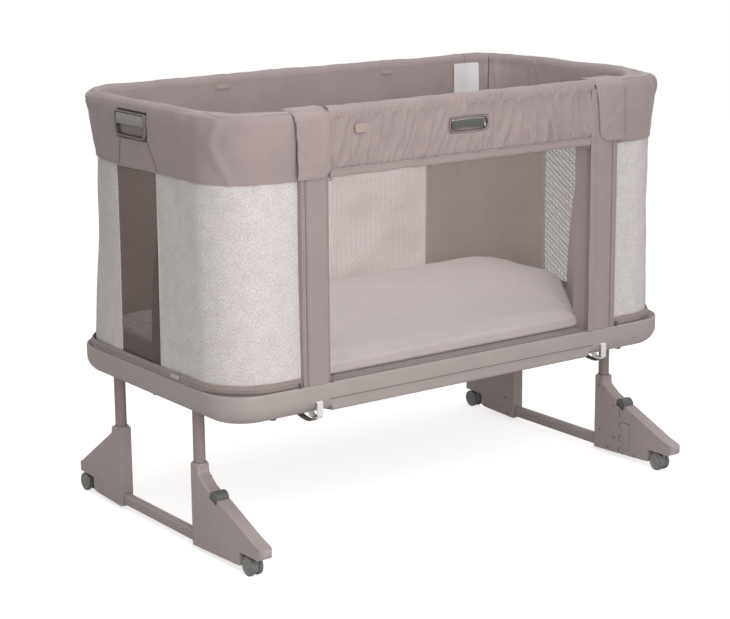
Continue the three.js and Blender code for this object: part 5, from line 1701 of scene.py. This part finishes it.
# %% A round cord along a line
def cord_rings(line, radius, around=8):
    line = np.asarray(line, float)
    tangent = np.gradient(line, axis=0)
    tangent /= np.linalg.norm(tangent, axis=1, keepdims=True)
    side = np.cross(tangent, (0.31, 0.22, 0.92))
    side /= np.linalg.norm(side, axis=1, keepdims=True)
    up = np.cross(side, tangent)
    turn = np.linspace(0, 2 * math.pi, around, endpoint=False)
    size = np.full(len(line), radius)
    size[0] = size[-1] = radius * 0.4
    circle = side[:, None] * np.cos(turn)[None, :, None] + up[:, None] * np.sin(turn)[None, :, None]
    return line[:, None] + circle * size[:, None, None]


def cord(name, line, radius, material, body):
    piece = loft(name, cord_rings(line, radius), [material], sharp_deg=60)
    return attach(piece, body, "taupe_fabric")


def along_band(label, picks):
    """Points on an end band's finished surface, from (run, place in the section) pairs."""
    rings, runs = end_bands[label]
    line = []
    for run, j in picks:
        i = int(np.clip(np.searchsorted(runs, run), 1, len(runs) - 1))
        share = (run - runs[i - 1]) / (runs[i] - runs[i - 1])
        low = int(j)
        a = rings[i - 1, low] * (1 - share) + rings[i, low] * share
        b = rings[i - 1, low + 1] * (1 - share) + rings[i, low + 1] * share
        line.append(a + (b - a) * (j - low))
    return np.array(line)


def section_place(label, run, z):
    """Where in the outside of the section the height z is reached."""
    rings, runs = end_bands[label]
    i = int(np.clip(np.searchsorted(runs, run), 0, len(runs) - 1))
    heights = rings[i, :OUTSIDE, 2]
    return float(np.interp(z, heights, np.arange(OUTSIDE)))


# %% Seams on the end bands
for label, side in ENDS:
    edge = OUTSIDE + 1.0
    runs_top = np.arange(-46, 81, 4.0)
    seam = [(run, edge + 1.4 * math.sin((run + 46) / 127 * math.pi)) for run in runs_top]
    seam += [(run, edge + 13 * ((run - 80) / 60) ** 1.3) for run in np.arange(84, 141, 4.0)]
    cord(f"roof_seam_{label}", along_band(label, seam), 0.9, seam_thread, "crib")
    middle = run_of_end(GRIP_Y)
    lines = []
    for top, foot, high in ((43, 62, GRIP_LOW + 1), (-47, -71, GRIP_LOW + 2), (-56, -81, GRIP_LOW + 3)):
        picks = []
        for share in np.linspace(0, 1, 14):
            run = middle + top + (foot - top) * share
            picks.append((run, section_place(label, run, high + (HEM_Z + 2 - high) * share)))
        lines.append(along_band(label, picks))
    cord(f"grip_seam_back_{label}", lines[0], 1.0, dark_seam, "crib")
    cord(f"grip_seam_front_{label}", lines[2], 1.0, dark_seam, "crib")
    hem_line = along_band(label, [(run, 1.2) for run in np.arange(-46, 650, 4.0)])
    inner_seam = [(END_STOP + 71 + 0.05 * k, OUTSIDE + TOP - 6 + k) for k in np.arange(0, 23.5, 1.5)]
    cord(f"inner_seam_{label}", along_band(label, inner_seam), 1.5, dark_seam, "crib")
    stitches(f"band_stitches_{label}", [hem_line, lines[1]], "crib", seam_thread)


# %% Piping on the flaps
def on_flap(label, across, down):
    """Points on a flap; either the share across or the row down is a list."""
    grid = flaps[label]
    points = []
    for share, row in np.broadcast(across, down):
        i = int(np.clip(row, 0, len(grid) - 1))
        k = share * (grid.shape[1] - 1)
        low = int(min(k, grid.shape[1] - 2))
        points.append(grid[i, low] * (1 - (k - low)) + grid[i, low + 1] * (k - low))
    return points


for label, side in ENDS:
    rows = len(flaps[label])
    edge = on_flap(label, 1.0, range(rows - 12, 4, -2)) + on_flap(label, np.linspace(0.97, 0.02, 26), 1.0)
    cord(f"flap_piping_{label}", edge, 1.15, lit_taupe_cloth, "crib")
    inner_line = on_flap(label, 0.925, range(rows - 14, 10, -1)) + on_flap(label, np.linspace(0.9, 0.04, 30), 9)
    top_line = on_flap(label, np.linspace(0.04, 0.9, 30), 44)
    stitches(f"flap_stitches_{label}", [inner_line, top_line], "crib", seam_thread)
    cord(f"flap_seam_{label}", on_flap(label, 0.012, range(4, 46)), 0.9, dark_seam, "crib")


# %% Zip line and stitches down the posts
def line_at(x, y, z):
    return np.stack(np.broadcast_arrays(x, y, z), axis=1).astype(float)


for label, side in ENDS:
    heights = np.arange(RIM + 3, HEM_Z - 2, 5.0)
    cord(f"zip_line_{label}", line_at(side * 379.4, -294.5, heights), 1.0, dark_seam, "crib")
    cord(f"post_piping_{label}", line_at(side * 330.6, -294.9, heights), 0.8, seam_thread, "crib")
    rows = [line_at(side * 386.0, -298.1, heights), line_at(side * 375.0, -297.9, heights)]
    stitches(f"post_stitches_{label}", rows, "crib", seam_thread)


# %% Stitches on the hem tape and along the skirt strip
tape_x = np.arange(-DROP_HALF + 4, DROP_HALF - 3, 4.0)
tape_rows = [line_at(tape_x, DROP_Y - 15.75, HEM_Z + level) for level in (3.0, 12.2)]
stitches("hem_tape_stitches", tape_rows, "drop_side", seam_thread)

skirt_runs = np.arange(run_of_front(-390), run_of_back(0.0), 6.0)
skirt_x, skirt_y, skirt_nx, skirt_ny = plan(skirt_runs)
skirt_line = line_at(skirt_x + 18.8 * skirt_nx, skirt_y + 18.8 * skirt_ny, RIM + 8.0)
stitches("skirt_stitches", [skirt_line, (skirt_line * (-1, 1, 1))[::-1]], "crib", dark_seam, 4.0, 2.6, 0.8)


# %% [markdown]
# ## Fasteners
# Self-tapping screws hold the two halves of each leg moulding together. A second node tree sets a round head with a
# cross recess at every marked point, turned to face away from the leg; the recess is coloured darker as painted shade.

# %% Geometry nodes: screws at points
def screw_tree():
    inputs = [("Places", "Geometry", None), ("Radius", "Float", 0.003), ("Height", "Float", 0.0012),
              ("Facing", "Vector", (0, 0, 1)), ("Head finish", "Material", None), ("Painted recess shade", "Material", None)]
    tree, ids, start, end = node_tree("screws at points", "Screws", inputs)
    join = tree.nodes.new("GeometryNodeJoinGeometry")
    turn = made_by(tree, "FunctionNodeAlignRotationToVector", ("axis", "Z"), Vector=start["Facing"])

    def share_of(label, factor):
        node = tree.nodes.new("ShaderNodeMath")
        node.operation = "MULTIPLY"
        node.inputs[1].default_value = factor
        tree.links.new(start[label], node.inputs[0])
        return node.outputs[0]

    for sides, across, tall, finish in ((16, 1.0, 1.0, "Head finish"), (4, 0.42, 1.35, "Painted recess shade")):
        body = made_by(tree, "GeometryNodeMeshCone", Vertices=sides, Radius_Top=share_of("Radius", across * 0.86),
                       Radius_Bottom=share_of("Radius", across), Depth=share_of("Height", tall))
        finished = made_by(tree, "GeometryNodeSetMaterial", Geometry=body, Material=start[finish])
        placed = made_by(tree, "GeometryNodeInstanceOnPoints", Points=start["Places"], Instance=finished, Rotation=turn)
        put(tree, join, Geometry=made_by(tree, "GeometryNodeRealizeInstances", Geometry=placed))
    tree.links.new(join.outputs[0], end[0])
    return tree, ids


SCREWS = screw_tree()
COLUMN_SCREWS = [(-135, 151), (-149, 146), (-180, 114), (-139, 51), (-183, 43), (-165, 17),
                 (187, 51), (297, 50.6), (260, 19), (178, 16)]
FOOT_SCREWS = [(-212, 14), (-247, 16)]
for label, side in ENDS:
    inner_face = abs(float(bed_box(f"housing_front_{label}")[0 if side > 0 else 1][0]))
    values = {"Radius": 0.0031, "Height": 0.0012, "Facing": (-side, 0, 0),
              "Head finish": tube_coat, "Painted recess shade": recess_shade_plastic}
    for body, tag, places in ((f"leg_{label}", "column", COLUMN_SCREWS), (f"front_foot_{label}", "foot", FOOT_SCREWS)):
        points = np.array([(side * (inner_face - 0.3), y, z) for y, z in places])
        grown(f"screws_{tag}_{label}", SCREWS, points, [], values, body, "leg_plastic")


# %% Latch plate on the inner face of each front foot, and a strap at each hook
def box_plate(name, corner, other, edge, material):
    """A plate with eased edges between two corners."""
    work = bmesh.new()
    bmesh.ops.create_cube(work, size=1.0)
    low, high = np.minimum(corner, other), np.maximum(corner, other)
    for vert in work.verts:
        vert.co = Vector(to_model(low + (np.array(vert.co) + 0.5) * (high - low)))
    bmesh.ops.bevel(work, geom=list(work.edges), offset=edge * 0.001, segments=3, profile=0.6, affect="EDGES", clamp_overlap=True)
    bmesh.ops.recalc_face_normals(work, faces=work.faces)
    mesh = as_mesh(work, name)
    shade(mesh, 35)
    return new_object(name, mesh, [material])


STRAP = [(-295, 274), (-288, 264), (-272, 261.5), (-252, 263.5), (-232, 270), (-214, 277.3), (-198, 278.6)]
STUD = [(0.001, 0.3), (7.0, 0.3), (7.0, -3.0), (6.0, -4.6), (0.001, -5.0)]
for label, side in ENDS:
    corners = (side * 504.6, -230.2, 23.0), (side * 505.9, -209.9, 82.0)
    part = box_plate(f"foot_latch_plate_{label}", *corners, 0.5, leg_plastic)
    attach(part, f"front_foot_{label}", "leg_plastic")
    section = ((-7, -0.8), (7, -0.8), (7, 0.8), (-7, 0.8))
    rows = [[(side * 362 + a, y, z + b) for a, b in section] for y, z in smooth_line(STRAP, 28)]
    strap = loft(f"hook_strap_{label}", np.array(rows), [webbing], sharp_deg=30)
    attach(strap, "crib", "dark_grey")
    for k, (x, y) in enumerate(((437, -262), (520, 25))):
        profile = [(radius, FLOOR_Z + up) for radius, up in STUD]
        knob = turned(f"tray_stud_{label}_{k}", profile, (side * x, y, 0), "z", [dark_plastic], sides=24)
        attach(knob, "crib", "dark_grey")


# %% Small plastic loops at the feet of the posts, and the slider of the zip on the foot strip
for label, side in ENDS:
    for k, (x0, x1, z1, finish) in enumerate(((394.5, 400.0, 343.5, dark_plastic), (323.5, 328.5, 339.0, frame_plastic))):
        knob = box_plate(f"post_loop_{label}_{k}", (side * x0, -301.5, RIM + 0.6), (side * x1, -296.5, z1), 1.2, finish)
        attach(knob, "crib", "dark_grey")
    slider = rounded_plate(f"zip_slider_{label}", stadium(-125, -97, 339, 346.5, 3.2), 0, 3.0, 0.7, handle_plastic)
    work = np.array([v.co for v in slider.data.vertices])  # drawn in x and z, then turned to face the end
    x, y, z = (work - (0, BED_BACK * 0.001, 0)).T
    facing_end = np.stack([side * (0.5583 - y), x + BED_BACK * 0.001, z], axis=1)
    slider.data.vertices.foreach_set("co", facing_end.ravel())
    face_outwards(slider.data)
    shade(slider.data, 35)
    attach(slider, "crib", "dark_grey")


# %% A narrow cloth strip that covers the end of the drop side, next to the right post
def make_post_strip():
    section = smooth_line([(315, -301.2), (315.6, -302.8), (322, -303.4), (328, -302.8), (330.6, -300), (331, -296.5),
                           (328.6, -299), (322, -301)], 28, closed=True)
    rings = np.array([[(x, y, z) for x, y in section] for z in np.linspace(RIM + 0.6, 832, 90)])
    rings[:, :, 1] += lumps(rings[:, :, 0], rings[:, :, 2], 141, 70, 0.35)
    rings[:, :, 0] += lumps(0 * rings[:, :, 0], rings[:, :, 2], 142, 90, 0.4)
    padded_piece("post_strip_right", rings, post_cloth, 0.1)


make_post_strip()

# %% [markdown]
# Two sewn-on patches stay plain: a small rubber one on the front band, and a white
# woven one that hangs inside the rear right corner.

# %% Plain patches
outline = stadium(-271, -243, 798.5, 815.5, 4.8)
patch = rounded_plate("front_patch", outline, DROP_Y - 19.2, DROP_Y - 15.8, 0.7, label_rubber)
attach(patch, "drop_side", "taupe_fabric")
rim_line = [(x, DROP_Y - 19.5, z) for x, z in stadium(-269.5, -244.5, 800.0, 814.0, 3.6)]
stitches("front_patch_stitches", [rim_line + rim_line[:1]], "drop_side", pale_thread, 2.2, 1.5, 0.6)


def make_care_patch():
    rings = []
    for x in np.linspace(413, 486, 30):
        run = run_of_back(-x)
        px, py, nx, ny = (float(v) for v in plan(run))
        column = []
        for z in np.linspace(831, 761, 24):
            inward = 17.6 + 0.5 * math.sin(x / 11) + float(rear_tuck(run, z))
            inward += 1.2 * math.sin((831 - z) / 70 * math.pi) + 0.3 * math.sin(z / 9 + x / 14)
            column.append((-(px - nx * inward), py - ny * inward, z))
        rings.append(column + [(a, b + 0.7, c) for a, b, c in reversed(column)])
    piece = loft("care_patch", np.array(rings), [patch_cloth], sharp_deg=60)
    attach(piece, "crib", "taupe_fabric")


patch_cloth = twill("plain white patch", from_screen(236, 234, 236), 0.1, 0.01)
make_care_patch()

# %% Stitched slots on the inner face of the back band
for k, x in enumerate((-200, 227)):
    inner_y = RAIL_BACK - 16.3
    outline = stadium(x - 17, x + 17, 822.5, 830.5, 3.8)
    slot_pad = rounded_plate(f"band_slot_{k}", outline, inner_y - 1.4, inner_y + 1.5, 0.6, lining_cloth)
    attach(slot_pad, "crib", "taupe_fabric")
    ring = [(a, inner_y - 1.5, b) for a, b in stadium(x - 15.5, x + 15.5, 824, 829, 2.4)]
    stitches(f"band_slot_stitches_{k}", [ring + ring[:1]], "crib", dark_seam, 2.6, 2.0, 0.7)
